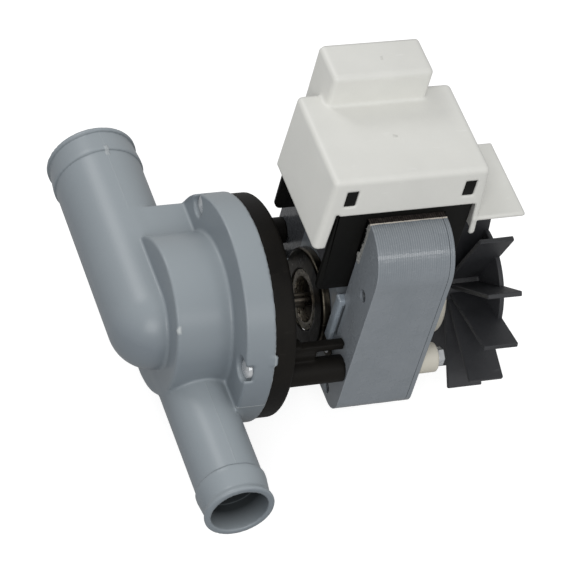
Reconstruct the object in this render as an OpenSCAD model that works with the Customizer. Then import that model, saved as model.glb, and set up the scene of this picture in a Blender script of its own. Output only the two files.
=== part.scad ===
// Drain pump of a washing machine, with an open shaded-pole motor.
// X runs along the shaft from the pump housing to the cooling fan.
// Z points up from the shaft to the coil, and Y along the two hose tubes.
// The origin is on the shaft axis, in the joint face of the pump housing.

/* [Pump housing] */
// Outer diameter of the flange that the back plate closes
flange_d = 96; // [94:0.5:102]
// Thickness of the flange
flange_t = 12.6; // [10:0.1:16]
// Outer diameter of the pump drum
drum_d = 65.5; // [60:0.5:70]
// Depth of the drum, from the joint face to its front
drum_h = 36.6; // [34:0.1:42]
// Wall of the drum
drum_wall = 2.6; // [2:0.1:3.5]
// Diameter of the mouth between the elbow and the drum
eye_d = 22; // [16:0.5:26]

/* [Hose tubes] */
// Outer diameter of the inlet tube
inlet_d = 38; // [34:0.5:40]
// Wall of the inlet tube
inlet_wall = 2.6; // [2:0.1:3.5]
// Distance from the shaft axis to the end of the inlet tube
inlet_reach = 90; // [75:1:120]
// Distance of the inlet tube's axis in front of the drum
inlet_lead = 0.4; // [0:0.1:3]
// Distance from the shaft axis to the centre of the elbow's round end
elbow_drop = 4; // [2:0.5:8]
// Outer diameter of the outlet tube
outlet_d = 28.2; // [24:0.2:30]
// Wall of the outlet tube
outlet_wall = 2.05; // [1.8:0.05:3]
// Distance from the shaft axis to the end of the outlet tube
outlet_reach = 90.4; // [75:1:120]
// Height of a hose barb over its tube
barb_h = 0.7; // [0.4:0.1:1.2]
// Distance from a tube's end to the step of its barb
barb_gap = 13.4; // [9:0.2:18]
// Width of the lip at a tube's end
lip_w = 2.3; // [1.5:0.1:4]

/* [Housing screws] */
// Distance of the housing screws' axes from the flange's edge
screw_inset = 4.5; // [4:0.1:5.5]
// Thread diameter of the housing screws
screw_d = 3.9; // [3:0.1:4.2]
// Length of the housing screws under the head
screw_len = 15; // [12:0.5:16]
// Diameter of the pockets for the screw heads
pocket_d = 10.4; // [9:0.2:11]
// Depth of the pockets for the screw heads
pocket_h = 3.6; // [3:0.1:5]

/* [Back plate] */
// Distance of the back plate's edge inside the flange's edge
plate_inset = 1.1; // [0.5:0.1:2.5]
// Height of the back plate's rim
plate_t = 9.4; // [8:0.1:12]
// Thickness of the back plate's face
face_t = 3.6; // [3:0.1:5]
// Wall of the back plate's rim
rim_wall = 3; // [2:0.1:4]
// Distance from the back plate's rim to the stator
pillar_len = 24.9; // [23:0.1:32]
// Diameter of the two pillars that the stator is screwed to
pillar_d = 11.4; // [10.6:0.2:13]
// Distance of the pillars' axes from the stator's sides
pillar_inset = 6.2; // [5.5:0.1:7]
// Height of the pillars over the shaft axis
pillar_z = 0.6; // [-1:0.1:2]
// Width of the two fingers beside the pillars
finger_w = 3.7; // [3:0.1:4.4]
// Height of the fingers' lower face over the shaft axis
finger_z = 9.5; // [8:0.1:12]
// Thickness of the fingers
finger_t = 3.5; // [3:0.1:5]

/* [Shaft and bearings] */
// Diameter of the shaft
shaft_d = 5.98; // [5:0.01:7]
// Diametral clearance of the shaft in its bushes
bush_play = 0.06; // [0.04:0.01:0.12]
// Diameter of the ball-shaped bushes
bush_d = 14; // [12:0.5:15]
// Width of the ball-shaped bushes
bush_w = 9; // [7:0.5:10]
// Wall round the bushes
hub_wall = 3; // [2.5:0.1:4]
// Diameter of the shaft seal
seal_d = 18; // [16:0.5:19]

/* [Impeller] */
// Outer diameter of the impeller
impeller_d = 52; // [40:1:54]
// Height of the impeller's blades
impeller_h = 11; // [8:0.5:11.5]
// Number of the impeller's blades
impeller_blades = 6; // [4:1:8]

/* [Stator] */
// Width over the two legs of the stator
stack_w = 90; // [90:0.5:94]
// Thickness of the stack of laminations
stack_t = 33.4; // [30:0.2:40]
// Width of each leg
leg_w = 20.5; // [20:0.1:20.8]
// Height of the pole block under the shaft axis
pole_down = 23.5; // [23:0.1:26]
// Height of the pole block over the shaft axis
pole_up = 24; // [23.5:0.1:25]
// Height of the core that goes through the coil
core_h = 19.5; // [16:0.1:20]
// Height of the stator's top over the shaft axis
stack_top = 73.5; // [73:0.1:78]
// Radius of the stator's two top corners
top_r = 19; // [14:0.5:20]
// Radius of the stator's two bottom corners
bottom_r = 8; // [4:0.5:9]
// Diameter of the bore for the rotor
bore_d = 30.6; // [30.2:0.1:31]
// Air gap between the rotor and the bore
air_gap = 0.4; // [0.3:0.05:0.6]
// Width of the copper shading bars
shade_w = 4; // [3:0.1:4]
// Thickness of the copper shading bars
shade_t = 2.5; // [2:0.1:3]
// Thread diameter of the two long motor screws
bolt_d = 3.9; // [3.5:0.1:4.5]

/* [Coil] */
// Least distance of the coil's cheeks from the joint face
coil_x0 = 20.5; // [19.8:0.1:22]
// Greatest distance of the coil's cheeks from the joint face
coil_x1 = 79.1; // [77:0.1:79.2]
// Height of the cheeks' lower edge over the shaft axis
coil_z0 = 33.4; // [33:0.1:36]
// Height of the cheeks' upper edge over the stator's top
coil_rise = 21.1; // [18:0.1:22]
// Thickness of the cheeks
cheek_t = 2; // [1.5:0.1:2.6]
// Extra reach of the rear cheek towards the pump
cheek_lead = 4; // [2:0.1:4.5]
// Height of the rear cheek's lower edge over the front cheek's
cheek_lift = 2.5; // [0:0.1:4]
// Distance from the winding to the cheeks' edge
winding_inset = 3; // [2.5:0.1:5]

/* [Cover] */
// Length of the cover's top along the shaft
cover_l = 66.6; // [66.5:0.1:70]
// Slope of the end wall at the pump, as its shift down to the lower edge
cover_lean = 1.1; // [0:0.1:2]
// Slope of the end wall at the fan, as its shift down to the lower edge
cover_flare = 3.3; // [2:0.1:5]
// Wall of the cover
cover_wall = 1.6; // [1.2:0.1:1.7]
// Height of the cover's top over the cheeks
cover_rise = 3.9; // [3.6:0.1:7]
// Height of the lower edge of the cover's end walls
cover_low = 60.5; // [56:0.5:66]
// Height of the lower edge of the cover's long walls over the stator's top
skirt_rise = 5; // [3.5:0.5:8]
// Rounding of the cover's outer edges
cover_r = 2.4; // [1:0.1:3]
// Length of the terminal box along the shaft
socket_l = 43.3; // [36:0.1:46]
// Height of the terminal box over the cover's top
socket_h = 15.5; // [13.5:0.5:20]
// Reach of the flap over the fan, from the cover's end
flap_l = 23; // [15:0.5:24]
// Height of the flap's upper face over the shaft axis
flap_z = 70; // [66:0.5:76]

/* [Rear bracket] */
// Outer diameter of the cup that holds the rear bush
cup_d = 40; // [38:0.5:44]
// Length of the cup, from the stator
cup_l = 20.3; // [20:0.1:24]
// Thickness of the bracket's foot on the stator
foot_t = 3; // [2:0.1:4]
// Height of the bosses that the long screws clamp
boss_h = 8.3; // [6:0.1:10]

/* [Fan] */
// Diameter over the fan's blades
fan_d = 90; // [70:1:100]
// Width of the fan's blades along the shaft
fan_w = 15.6; // [10:0.2:20]
// Number of blades
fan_blades = 12; // [8:1:14]
// Thickness of the blades
fan_blade_t = 2.2; // [1.6:0.1:3]
// Diameter of the fan's disc
fan_disc_d = 55.6; // [40:0.4:60]
// Distance from the rear cup to the fan's blades
fan_gap = 6.9; // [5:0.1:10]

/* [Hidden] */
$fn = 72;
eps = 0.02;
slip = 0.05;
fit = 0.2;

flange_r = flange_d / 2;
drum_r = drum_d / 2;
chamber_r = drum_r - drum_wall;
inlet_r = inlet_d / 2;
inlet_x = -(drum_h + inlet_lead);
outlet_r = outlet_d / 2;
outlet_x = -(drum_h - outlet_r);
outlet_z = -(drum_r - outlet_r) + eps;
throat_y = chamber_r + 1;
throat_step = 0.6;
web_r = inlet_r - 0.4;
web_y = sqrt(flange_r * flange_r - web_r * web_r);
groove_in = 0.25;

screw_r = flange_r - screw_inset;
screw_angles = [45, 165, 285];
screw_head_r = 4;
screw_head_h = 2.8;
screw_seat_x = -(flange_t - pocket_h);
nub_w = 4.5;
nub_l = 1.2;
nub_h = 0.4;
nub_angle = 291;

ring_r = screw_r - pocket_d / 2 - 3.2;
ring_t = 3;

shaft_r = shaft_d / 2;
bush_r = bush_d / 2;
hub_r = bush_r + hub_wall;
seal_r = seal_d / 2;
clip_t = 0.8;
felt_t = 1.6;
washer_t = 0.8;
slinger_r = bush_r + 2;
slinger_t = 1.6;
slinger_hub_r = shaft_r + 2;
slinger_w = 3;
seal_x0 = 1;
seal_w = 6;
felt_x = seal_x0 + seal_w + 0.8;
bush_x = felt_x + felt_t + 0.4;
hub_x1 = bush_x + bush_w + clip_t + 0.3;

plate_r = flange_r - plate_inset;
stack_x0 = plate_t + pillar_len;
stack_x1 = stack_x0 + stack_t;
pillar_r = pillar_d / 2;
leg_y = stack_w / 2;
pillar_y = leg_y - pillar_inset;
finger_y = finger_w - (pillar_y - 2.1);
bolt_r = bolt_d / 2;
bolt_bite = 16;

impeller_r = impeller_d / 2;
impeller_gap = 2.6;
impeller_disc = 2;
hub_len = impeller_h + impeller_disc;
impeller_x0 = -impeller_gap - hub_len;
nut_h = 3.4;
shaft_x0 = impeller_x0 - nut_h - 0.8;

bore_r = bore_d / 2;
rotor_r = bore_r - air_gap;
cage_w = 3.5;
cage_r1 = rotor_r - 2.1;
cage_r0 = cage_r1 - 3;
cage_bar_r = 1.4;
cage_bar_at = (cage_r0 + cage_r1) / 2;
cage_bars = 16;

window_y = leg_y - leg_w;
core_z0 = stack_top - core_h;
joint_in = 1.5;
bridge_t = 1.8;
notch_w = 8;

shade_y = window_y - 2.1;
shade_z0 = 3;

cage_clear = 0.5;
shield_r0 = cage_r1 + cage_clear;
shield_t = 1;
shield_h = 3.9;
shield_r1 = shade_y - 0.4;
ear_at = shield_r1 + 2.9;
ear_r = 4.2;
ear_angles = [144, 264];
ear_hole_r = 1.5;
ear_rivet_bite = 6;

coil_y0 = -(window_y - 1);
coil_y1 = window_y - 2.5;
coil_z1 = stack_top + coil_rise;
cheek_r = 3;
tube_wall = 1.4;
tube_x0 = stack_x0 - fit - tube_wall;
tube_x1 = stack_x1 + fit + tube_wall;
tube_z0 = core_z0 - fit - tube_wall;
tube_z1 = stack_top + fit + tube_wall;
rear_cheek_x0 = coil_x0 - cheek_lead;
tape_t = 0.6;

cover_x0 = rear_cheek_x0 - fit - cover_wall - 0.5;
cover_x1 = cover_x0 + cover_l;
cover_top = coil_z1 + cover_rise;
cover_skirt = stack_top + skirt_rise;
cover_drop = cover_top - cover_low;
cover_y0 = coil_y0 - fit - cover_wall;
cover_y1 = coil_y1 + fit + cover_wall;
socket_x0 = cover_x0 + 10;
socket_x1 = socket_x0 + socket_l;
socket_y0 = cover_y1 - 8;
socket_y1 = cover_y1 + 11;
socket_z0 = cover_skirt;
socket_z1 = cover_top + socket_h;
flap_t = 2;
flap_y1 = cover_y1 - 9;
tongue_w = 5.1;
strip_w = 3;
notch_l = 1.4;
notch_h = 1;
window_w = 5;
window_h = 8.6;
window_lift = 5.3;
window_z = cover_skirt + window_lift;
window_xs = [coil_x0 + 0.2, coil_x1 - 2.4 - window_w];

tower_w = 31.5;
tower_x0 = (socket_x0 + socket_x1 - tower_w) / 2;
tower_z1 = socket_z1 - cover_wall - 4;
tab_w = 6.3;
tab_t = 0.8;
tab_z = cover_top + 2.5;
tab_pitch = 15.5;
tab_len = 9;
tab_xs = [(socket_x0 + socket_x1) / 2 - tab_pitch / 2, (socket_x0 + socket_x1) / 2 + tab_pitch / 2];
cutout_l = 16;
cutout_w = 8;

cup_r = cup_d / 2;
cup_wall = 2.4;
cup_x1 = stack_x1 + cup_l;
rear_clip_x = cup_x1 - cup_wall - felt_t - 0.4 - bush_w - clip_t - 0.3;
rear_bush_x = rear_clip_x + clip_t + 0.3;
rear_felt_x = rear_bush_x + bush_w + 0.4;
boss_x1 = stack_x1 + boss_h;
boss_r = 6.3;
bolt_head_r = 4.05;
bolt_head_h = 2.6;
bolt_washer_r = 4.7;
bolt_washer_t = 0.9;

fan_r = fan_d / 2;
fan_x0 = cup_x1 + fan_gap;
fan_x1 = fan_x0 + fan_w;
fan_disc_r = fan_disc_d / 2;
fan_disc_t = 2.2;
fan_hub_r = 7.5;
fan_hub_lead = 3.4;
fan_turn = 19;
fan_clip_t = 0.8;
shaft_x1 = fan_x1 + fan_clip_t + 1;

// A round bar along X from x0 to x1
module bar_x(x0, x1, r, y = 0, z = 0) {
  translate([x0, y, z]) rotate([0, 90, 0]) cylinder(h = x1 - x0, r = r);
}

// A turned shape along X, drawn as radius and x
module turned_x(points) {
  rotate([0, 90, 0]) rotate_extrude() polygon(points);
}

// An outline in Y and Z, thickened along X
module slab_x(x0, x1) {
  translate([x0, 0, 0]) rotate([90, 0, 90]) linear_extrude(x1 - x0) children();
}

// An outline in X and Z, thickened along Y
module slab_y(y0, y1) {
  translate([0, y1, 0]) rotate([90, 0, 0]) linear_extrude(y1 - y0) children();
}

// A box between two corners
module block(low, high) {
  translate(low) cube(high - low);
}

// A rectangle with four round corners
module round_rect(u0, u1, v0, v1, r) {
  translate([u0 + r, v0]) square([u1 - u0 - 2 * r, v1 - v0]);
  translate([u0, v0 + r]) square([u1 - u0, v1 - v0 - 2 * r]);
  for (u = [u0 + r, u1 - r], v = [v0 + r, v1 - r]) translate([u, v]) circle(r);
}

// The two places beside the shaft that the stator's screws and pillars share
module at_pillars() {
  for (s = [-1, 1]) translate([0, s * pillar_y, pillar_z]) children();
}

// A place on a circle round the shaft, with the angle from +Z towards +Y
function place(r, a) = [0, r * sin(a), r * cos(a)];

// The outside of a hose tube with its barb and its lip, along +Z from 0
module hose_tube(r, reach) {
  barb_at = reach - barb_gap;
  lip_at = reach - lip_w;
  rotate_extrude() polygon([
    [0, 0], [r, 0], [r, barb_at], [r + barb_h, barb_at + 0.5], [r + barb_h, barb_at + 2],
    [r - groove_in, lip_at], [r + barb_h - 0.1, lip_at + 0.2],
    [r + barb_h - 0.1, reach - 0.8], [r + barb_h - 0.9, reach], [0, reach]
  ]);
}

// The outside of the inlet elbow: a tube along +Y closed by a ball
module elbow_outside() {
  translate([inlet_x, -elbow_drop, 0]) {
    rotate([-90, 0, 0]) cylinder(h = inlet_reach / 2, r = inlet_r);
    sphere(inlet_r);
  }
}

module pump_housing() {
  color([0.55, 0.58, 0.61])
  difference() {
    union() {
      turned_x([[0, -flange_t], [flange_r - 0.6, -flange_t], [flange_r, -flange_t + 0.6],
        [flange_r, 0], [0, 0]]);
      turned_x([[0, -drum_h], [drum_r - 1, -drum_h], [drum_r, -drum_h + 1], [drum_r, -1], [0, -1]]);
      elbow_outside();
      translate([inlet_x, 0, 0]) rotate([-90, 0, 0]) hose_tube(inlet_r, inlet_reach);
      block([inlet_x, 0, -web_r], [-1, web_y, web_r]);
      translate([outlet_x, 0, outlet_z]) rotate([90, 0, 0]) hose_tube(outlet_r, outlet_reach);
      rotate([-nub_angle, 0, 0]) block([-2, -nub_w / 2, plate_r + slip], [nub_l, nub_w / 2, flange_r + nub_h]);
    }
    difference() {
      union() {
        bar_x(-(drum_h - drum_wall), 1, chamber_r);
        translate([outlet_x, 0, outlet_z]) rotate([90, 0, 0]) {
          cylinder(h = throat_y + 1, r = outlet_r - outlet_wall - throat_step);
          translate([0, 0, throat_y]) cylinder(h = outlet_reach + 1 - throat_y, r = outlet_r - outlet_wall);
        }
      }
      elbow_outside();
    }
    translate([inlet_x, -elbow_drop, 0]) {
      rotate([-90, 0, 0]) cylinder(h = inlet_reach + elbow_drop + 1, r = inlet_r - inlet_wall);
      sphere(inlet_r - inlet_wall);
    }
    bar_x(inlet_x, inlet_x + inlet_r + 1, eye_d / 2);
    ring_groove();
    for (a = screw_angles) translate(place(screw_r, a)) {
      bar_x(-flange_t - 1, screw_seat_x, pocket_d / 2);
      bar_x(-flange_t - 1, 1, screw_d / 2 + fit);
    }
  }
}

// The groove in the joint face for the housing seal
module ring_groove() {
  difference() {
    bar_x(-ring_t, 1, ring_r + ring_t / 2 + slip);
    bar_x(-ring_t - 1, 2, ring_r - ring_t / 2 - slip);
  }
}

module housing_seal() {
  color([0.08, 0.08, 0.09])
  turned_x([for (k = [0 : 23]) [
    ring_r + (ring_t / 2 - slip) * cos(k * 15),
    -ring_t / 2 + (ring_t / 2 - slip) * sin(k * 15)]]);
}

module housing_screws() {
  color([0.75, 0.76, 0.77])
  for (a = screw_angles) translate(place(screw_r, a)) difference() {
    turned_x([[0, screw_seat_x - screw_head_h], [screw_head_r - 1.2, screw_seat_x - screw_head_h],
      [screw_head_r, screw_seat_x - screw_head_h + 1.2], [screw_head_r, screw_seat_x],
      [screw_d / 2, screw_seat_x], [screw_d / 2, screw_seat_x + screw_len - 2],
      [0.6, screw_seat_x + screw_len], [0, screw_seat_x + screw_len]]);
    for (t = [0, 90]) rotate([t, 0, 0])
      block([screw_seat_x - screw_head_h - 1, -2.3, -0.45], [screw_seat_x - 1.1, 2.3, 0.45]);
  }
}

module back_plate() {
  boss_x = plate_t - 0.6;
  color([0.1, 0.1, 0.1])
  difference() {
    union() {
      turned_x([[0, 0], [plate_r, 0], [plate_r, face_t], [0, face_t]]);
      difference() {
        turned_x([[0, 1], [plate_r, 1], [plate_r, plate_t - 1.6], [plate_r - 1.6, plate_t], [0, plate_t]]);
        bar_x(face_t, plate_t + 1, plate_r - rim_wall);
      }
      bar_x(1, hub_x1, hub_r);
      intersection() {
        bar_x(1, boss_x, plate_r - 0.5);
        for (a = screw_angles) translate(place(screw_r, a)) bar_x(1, boss_x, screw_d / 2 + 2.6);
      }
      at_pillars() bar_x(1, stack_x0, pillar_r);
      for (t = [0, 180]) rotate([t, 0, 0])
        block([1, finger_y - finger_w, finger_z], [stack_x0 - 0.3, finger_y, finger_z + finger_t]);
      for (a = [0 : 60 : 300]) rotate([a, 0, 0])
        block([1, hub_r - 1, -0.9], [plate_t - 2, plate_r - 1.5, 0.9]);
    }
    bar_x(-1, hub_x1 + 1, shaft_r + 1.5);
    bar_x(-1, seal_x0 + seal_w + slip, seal_r + slip);
    bar_x(felt_x - slip, hub_x1 + 1, bush_r + slip);
    for (a = screw_angles) translate(place(screw_r, a)) bar_x(-1, plate_t + 1, screw_d / 2 + slip);
    at_pillars() bar_x(stack_x0 - bolt_bite, stack_x0 + 1, bolt_r + slip);
  }
}

module shaft_seal() {
  color([0.12, 0.12, 0.13])
  turned_x([
    [shaft_r + 0.04, seal_x0], [shaft_r + 0.04, seal_x0 + 1], [shaft_r + 2, seal_x0 + 2.4],
    [shaft_r + 2, seal_x0 + seal_w - 1.4], [shaft_r + 0.04, seal_x0 + seal_w - 0.6],
    [shaft_r + 0.04, seal_x0 + seal_w], [seal_r, seal_x0 + seal_w], [seal_r, seal_x0]]);
}

// An oil-soaked felt ring beside a bush
module felt_ring(x) {
  color([0.78, 0.74, 0.62])
  difference() {
    bar_x(x, x + felt_t, bush_r);
    bar_x(x - 1, x + felt_t + 1, shaft_r + 0.5);
  }
}

// A sintered bush: a ball cut flat on both sides and bored for the shaft
module bush(x) {
  color([0.66, 0.50, 0.30])
  difference() {
    intersection() {
      translate([x + bush_w / 2, 0, 0]) rotate([0, 90, 0]) sphere(bush_r);
      bar_x(x, x + bush_w, bush_r + 1);
    }
    bar_x(x - 1, x + bush_w + 1, shaft_r + bush_play / 2);
  }
}

// A sprung steel star that holds a bush in its seat
module bush_clip(x) {
  color([0.72, 0.73, 0.74])
  difference() {
    bar_x(x, x + clip_t, bush_r);
    bar_x(x - 1, x + clip_t + 1, shaft_r + 1.2);
    for (a = [0 : 45 : 315]) rotate([a, 0, 0]) block([x - 1, 0, -0.4], [x + clip_t + 1, bush_r - 1.6, 0.4]);
  }
}

module front_felt_ring() { felt_ring(felt_x); }
module front_bush() { bush(bush_x); }
module front_bush_clip() { bush_clip(bush_x + bush_w + 0.3); }

module impeller() {
  hub = shaft_r + 3;
  color([0.85, 0.85, 0.83])
  difference() {
    union() {
      bar_x(impeller_x0, -impeller_gap, hub);
      bar_x(-impeller_gap - impeller_disc, -impeller_gap, impeller_r);
      for (k = [0 : impeller_blades - 1]) rotate([k * 360 / impeller_blades, 0, 0])
        block([impeller_x0, hub - 1, -1], [-impeller_gap - 1, impeller_r - 0.5, 1]);
    }
    bar_x(impeller_x0 - 1, 0, shaft_r + eps / 2);
  }
}

module impeller_nut() {
  color([0.72, 0.73, 0.74])
  difference() {
    translate([impeller_x0 - nut_h, 0, 0]) rotate([0, 90, 0]) cylinder(h = nut_h, r = shaft_r + 1.9, $fn = 6);
    bar_x(impeller_x0 - nut_h - 1, impeller_x0 + 1, shaft_r + eps / 2);
  }
}

module slinger_ring() {
  x = hub_x1 + washer_t + 0.4;
  color([0.15, 0.15, 0.16])
  difference() {
    union() {
      bar_x(x, x + slinger_t, slinger_r);
      bar_x(x, x + slinger_w, slinger_hub_r);
    }
    bar_x(x - 1, x + slinger_w + 1, shaft_r + eps / 2);
  }
}

module thrust_washers() {
  color([0.9, 0.88, 0.8])
  for (x = [hub_x1 + 0.2, rear_clip_x - 0.2 - washer_t]) difference() {
    bar_x(x, x + washer_t, bush_r - 1.5);
    bar_x(x - 1, x + washer_t + 1, shaft_r + eps / 2);
  }
}

module shaft() {
  color([0.78, 0.79, 0.8])
  turned_x([[0, shaft_x0], [shaft_r - 0.5, shaft_x0], [shaft_r, shaft_x0 + 0.5],
    [shaft_r, shaft_x1 - 0.5], [shaft_r - 0.5, shaft_x1], [0, shaft_x1]]);
}

// The places of the cage's bars round the rotor
module at_cage_bars() {
  for (k = [0 : cage_bars - 1]) translate(place(cage_bar_at, (k + 0.5) * 360 / cage_bars)) children();
}

module rotor_core() {
  color([0.42, 0.43, 0.45])
  difference() {
    bar_x(stack_x0, stack_x1, rotor_r);
    bar_x(stack_x0 - 1, stack_x1 + 1, shaft_r + eps / 2);
    at_cage_bars() bar_x(stack_x0 - 1, stack_x1 + 1, cage_bar_r + slip);
  }
}

module rotor_cage() {
  color([0.8, 0.81, 0.82])
  union() {
    for (x = [stack_x0 - cage_w, stack_x1]) difference() {
      bar_x(x, x + cage_w, cage_r1);
      bar_x(x - 1, x + cage_w + 1, cage_r0);
    }
    at_cage_bars() bar_x(stack_x0 - 1, stack_x1 + 1, cage_bar_r);
  }
}

module rotor_shield() {
  color([0.6, 0.58, 0.54])
  difference() {
    union() {
      bar_x(stack_x0 - shield_h, stack_x0, shield_r1);
      for (a = ear_angles) translate(place(ear_at, a)) bar_x(stack_x0 - shield_t, stack_x0, ear_r);
    }
    bar_x(stack_x0 - shield_h - 1, stack_x0 + 1, shield_r0);
    bar_x(stack_x0 - shield_h + shield_t, stack_x0 + 1, shield_r1 - shield_t);
    for (a = ear_angles) translate(place(ear_at, a)) bar_x(stack_x0 - 3, stack_x0 + 1, ear_hole_r);
  }
}

module shield_rivets() {
  color([0.7, 0.7, 0.68])
  for (a = ear_angles) translate(place(ear_at, a))
    turned_x([[0, stack_x0 - shield_t - 0.8], [1.4, stack_x0 - shield_t - 0.8], [2.3, stack_x0 - shield_t - 0.3],
      [2.3, stack_x0 - shield_t], [ear_hole_r - slip, stack_x0 - shield_t],
      [ear_hole_r - slip, stack_x0 + ear_rivet_bite], [0, stack_x0 + ear_rivet_bite]]);
}

// The stamped outline of the stator, without its holes
module stack_outline() {
  difference() {
    union() {
      round_rect(-leg_y, leg_y, -pole_down, stack_top, top_r);
      round_rect(-leg_y, leg_y, -pole_down, core_z0, bottom_r);
    }
    translate([-window_y, pole_up]) square([2 * window_y, core_z0 - pole_up]);
    translate([-window_y - joint_in, core_z0]) square([2 * (window_y + joint_in), core_h + 1]);
    translate([-notch_w / 2, bore_r + bridge_t]) square([notch_w, pole_up]);
    translate([-notch_w / 2, -pole_down - 1]) square([notch_w, pole_down + 1 - bore_r - bridge_t]);
  }
}

// The places of the four rivets through the laminations
rivet_r = 2.6;
rivet_sink = 0.7;
rivet_inset = 7.4;
rivet_drop = 10.5;
low_rivet_inset = 12;
low_rivet_lift = 5;
rivet_places = [for (s = [-1, 1]) each [
  [0, s * (leg_y - rivet_inset), core_z0 - rivet_drop],
  [0, s * (leg_y - low_rivet_inset), -pole_down + low_rivet_lift]]];

// The two diagonal places of the shading rings
module at_shaded_poles() {
  for (t = [0, 180]) rotate([t, 0, 0]) mirror([0, 1, 0]) children();
}

// The room that a bar of a shading ring takes in the stack or in the bracket
module shade_space(z, room) {
  block([stack_x0 - shade_t - room, shade_y - room, z - room],
    [stack_x1 + shade_t + room, shade_y + shade_w + room, z + shade_t + room]);
}

module stator_stack() {
  color([0.47, 0.50, 0.53])
  difference() {
    slab_x(stack_x0, stack_x1) stack_outline();
    bar_x(stack_x0 - 1, stack_x1 + 1, bore_r);
    at_shaded_poles() {
      shade_space(shade_z0, fit / 2);
      shade_space(pole_up, fit / 2);
      block([stack_x0 - 1, bore_r - 2, shade_z0 + 0.8], [stack_x1 + 1, shade_y, shade_z0 + 1.8]);
    }
    at_pillars() bar_x(stack_x0 - 1, stack_x1 + 1, bolt_r + fit);
    for (p = rivet_places) translate(p) bar_x(stack_x0 - 1, stack_x1 + 1, rivet_r + slip);
    for (a = ear_angles) translate(place(ear_at, a)) bar_x(stack_x0 - 1, stack_x0 + ear_rivet_bite + 0.5, ear_hole_r);
  }
}

module coil_core() {
  color([0.16, 0.16, 0.17])
  block([stack_x0 + 0.1, -window_y - joint_in + slip, core_z0 + slip],
    [stack_x1 - 0.1, window_y + joint_in - slip, stack_top - 0.2]);
}

module stack_rivets() {
  color([0.35, 0.37, 0.39])
  for (p = rivet_places) translate(p) difference() {
    bar_x(stack_x0 + rivet_sink, stack_x1 - rivet_sink, rivet_r);
    bar_x(stack_x0, stack_x0 + rivet_sink + 2, rivet_r - 0.7);
    bar_x(stack_x1 - rivet_sink - 2, stack_x1, rivet_r - 0.7);
  }
}

module shading_rings() {
  top = pole_up + shade_t;
  color([0.72, 0.45, 0.3])
  at_shaded_poles() difference() {
    block([stack_x0 - shade_t, shade_y, shade_z0], [stack_x1 + shade_t, shade_y + shade_w, top]);
    block([stack_x0, shade_y - 1, shade_z0 + shade_t], [stack_x1, shade_y + shade_w + 1, top - shade_t]);
  }
}

module coil_bobbin() {
  color([0.1, 0.1, 0.1])
  difference() {
    union() {
      slab_y(coil_y0, coil_y0 + cheek_t) round_rect(coil_x0, coil_x1, coil_z0, coil_z1, cheek_r);
      slab_y(coil_y1 - cheek_t, coil_y1)
        round_rect(rear_cheek_x0, coil_x1, coil_z0 + cheek_lift, coil_z1, cheek_r);
      block([tube_x0, coil_y0 + 1, tube_z0], [tube_x1, coil_y1 - 1, tube_z1]);
      block([tower_x0, coil_y1 - cheek_t, coil_z1 - 4], [tower_x0 + tower_w, coil_y1, tower_z1]);
      for (x = window_xs) block([x + fit, coil_y0 - cover_wall + 0.2, window_z + fit],
        [x + window_w - fit, coil_y0 + 1, window_z + window_h - fit]);
    }
    block([stack_x0 - fit, coil_y0 - 1, core_z0 - fit], [stack_x1 + fit, coil_y1 + 1, stack_top + fit]);
    for (x = tab_xs) block([x - tab_w / 2 - slip, coil_y1 - cheek_t - 1, tab_z - slip],
      [x + tab_w / 2 + slip, coil_y1 + 1, tab_z + tab_t + slip]);
  }
}

// The round-cornered outline of the winding, grown by a width
module winding_outline(grow) {
  round_rect(coil_x0 + winding_inset - grow, coil_x1 - winding_inset + grow,
    coil_z0 + winding_inset - grow, coil_z1 - winding_inset + grow, 8 + grow);
}

module coil_winding() {
  color([0.7, 0.38, 0.2])
  difference() {
    slab_y(coil_y0 + cheek_t + 0.1, coil_y1 - cheek_t - 0.1) winding_outline(-tape_t - 0.1);
    block([tube_x0 - 0.1, coil_y0, tube_z0 - 0.1], [tube_x1 + 0.1, coil_y1, tube_z1 + 0.1]);
  }
}

module coil_tape() {
  color([0.85, 0.8, 0.55])
  difference() {
    slab_y(coil_y0 + cheek_t + 0.1, coil_y1 - cheek_t - 0.1) winding_outline(0);
    slab_y(coil_y0, coil_y1) winding_outline(-tape_t);
  }
}

module thermal_cutout() {
  z = coil_z1 - winding_inset + 0.1;
  x = (coil_x0 + coil_x1) / 2;
  color([0.85, 0.85, 0.82])
  block([x - cutout_l / 2, -cutout_w / 2, z], [x + cutout_l / 2, cutout_w / 2, z + 3.6]);
}

module terminal_tabs() {
  color([0.8, 0.78, 0.7])
  for (x = tab_xs) difference() {
    block([x - tab_w / 2, coil_y1 - cheek_t - 2, tab_z], [x + tab_w / 2, coil_y1 + tab_len, tab_z + tab_t]);
    translate([x, coil_y1 + tab_len - 3, tab_z - 1]) cylinder(h = 3, r = 0.9);
  }
}

// Points of an arc about (u, v), from angle a0 to a1
function arc(u, v, r, a0, a1, n = 8) =
  [for (k = [0 : n]) let (a = a0 + (a1 - a0) * k / n) [u + r * cos(a), v + r * sin(a)]];

// A house shape with a round-cornered flat top, whose two sides shift outwards by lean and flare per unit of depth
module hood(u0, u1, low, top, r, lean = 0, flare = 0) {
  polygon(concat(
    [[u1 + flare * (top - low), low]],
    arc(u1 + flare * r - r * sqrt(1 + flare * flare), top - r, r, atan(flare), 90),
    arc(u0 - lean * r + r * sqrt(1 + lean * lean), top - r, r, 90, 180 - atan(lean)),
    [[u0 - lean * (top - low), low]]));
}

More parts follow.
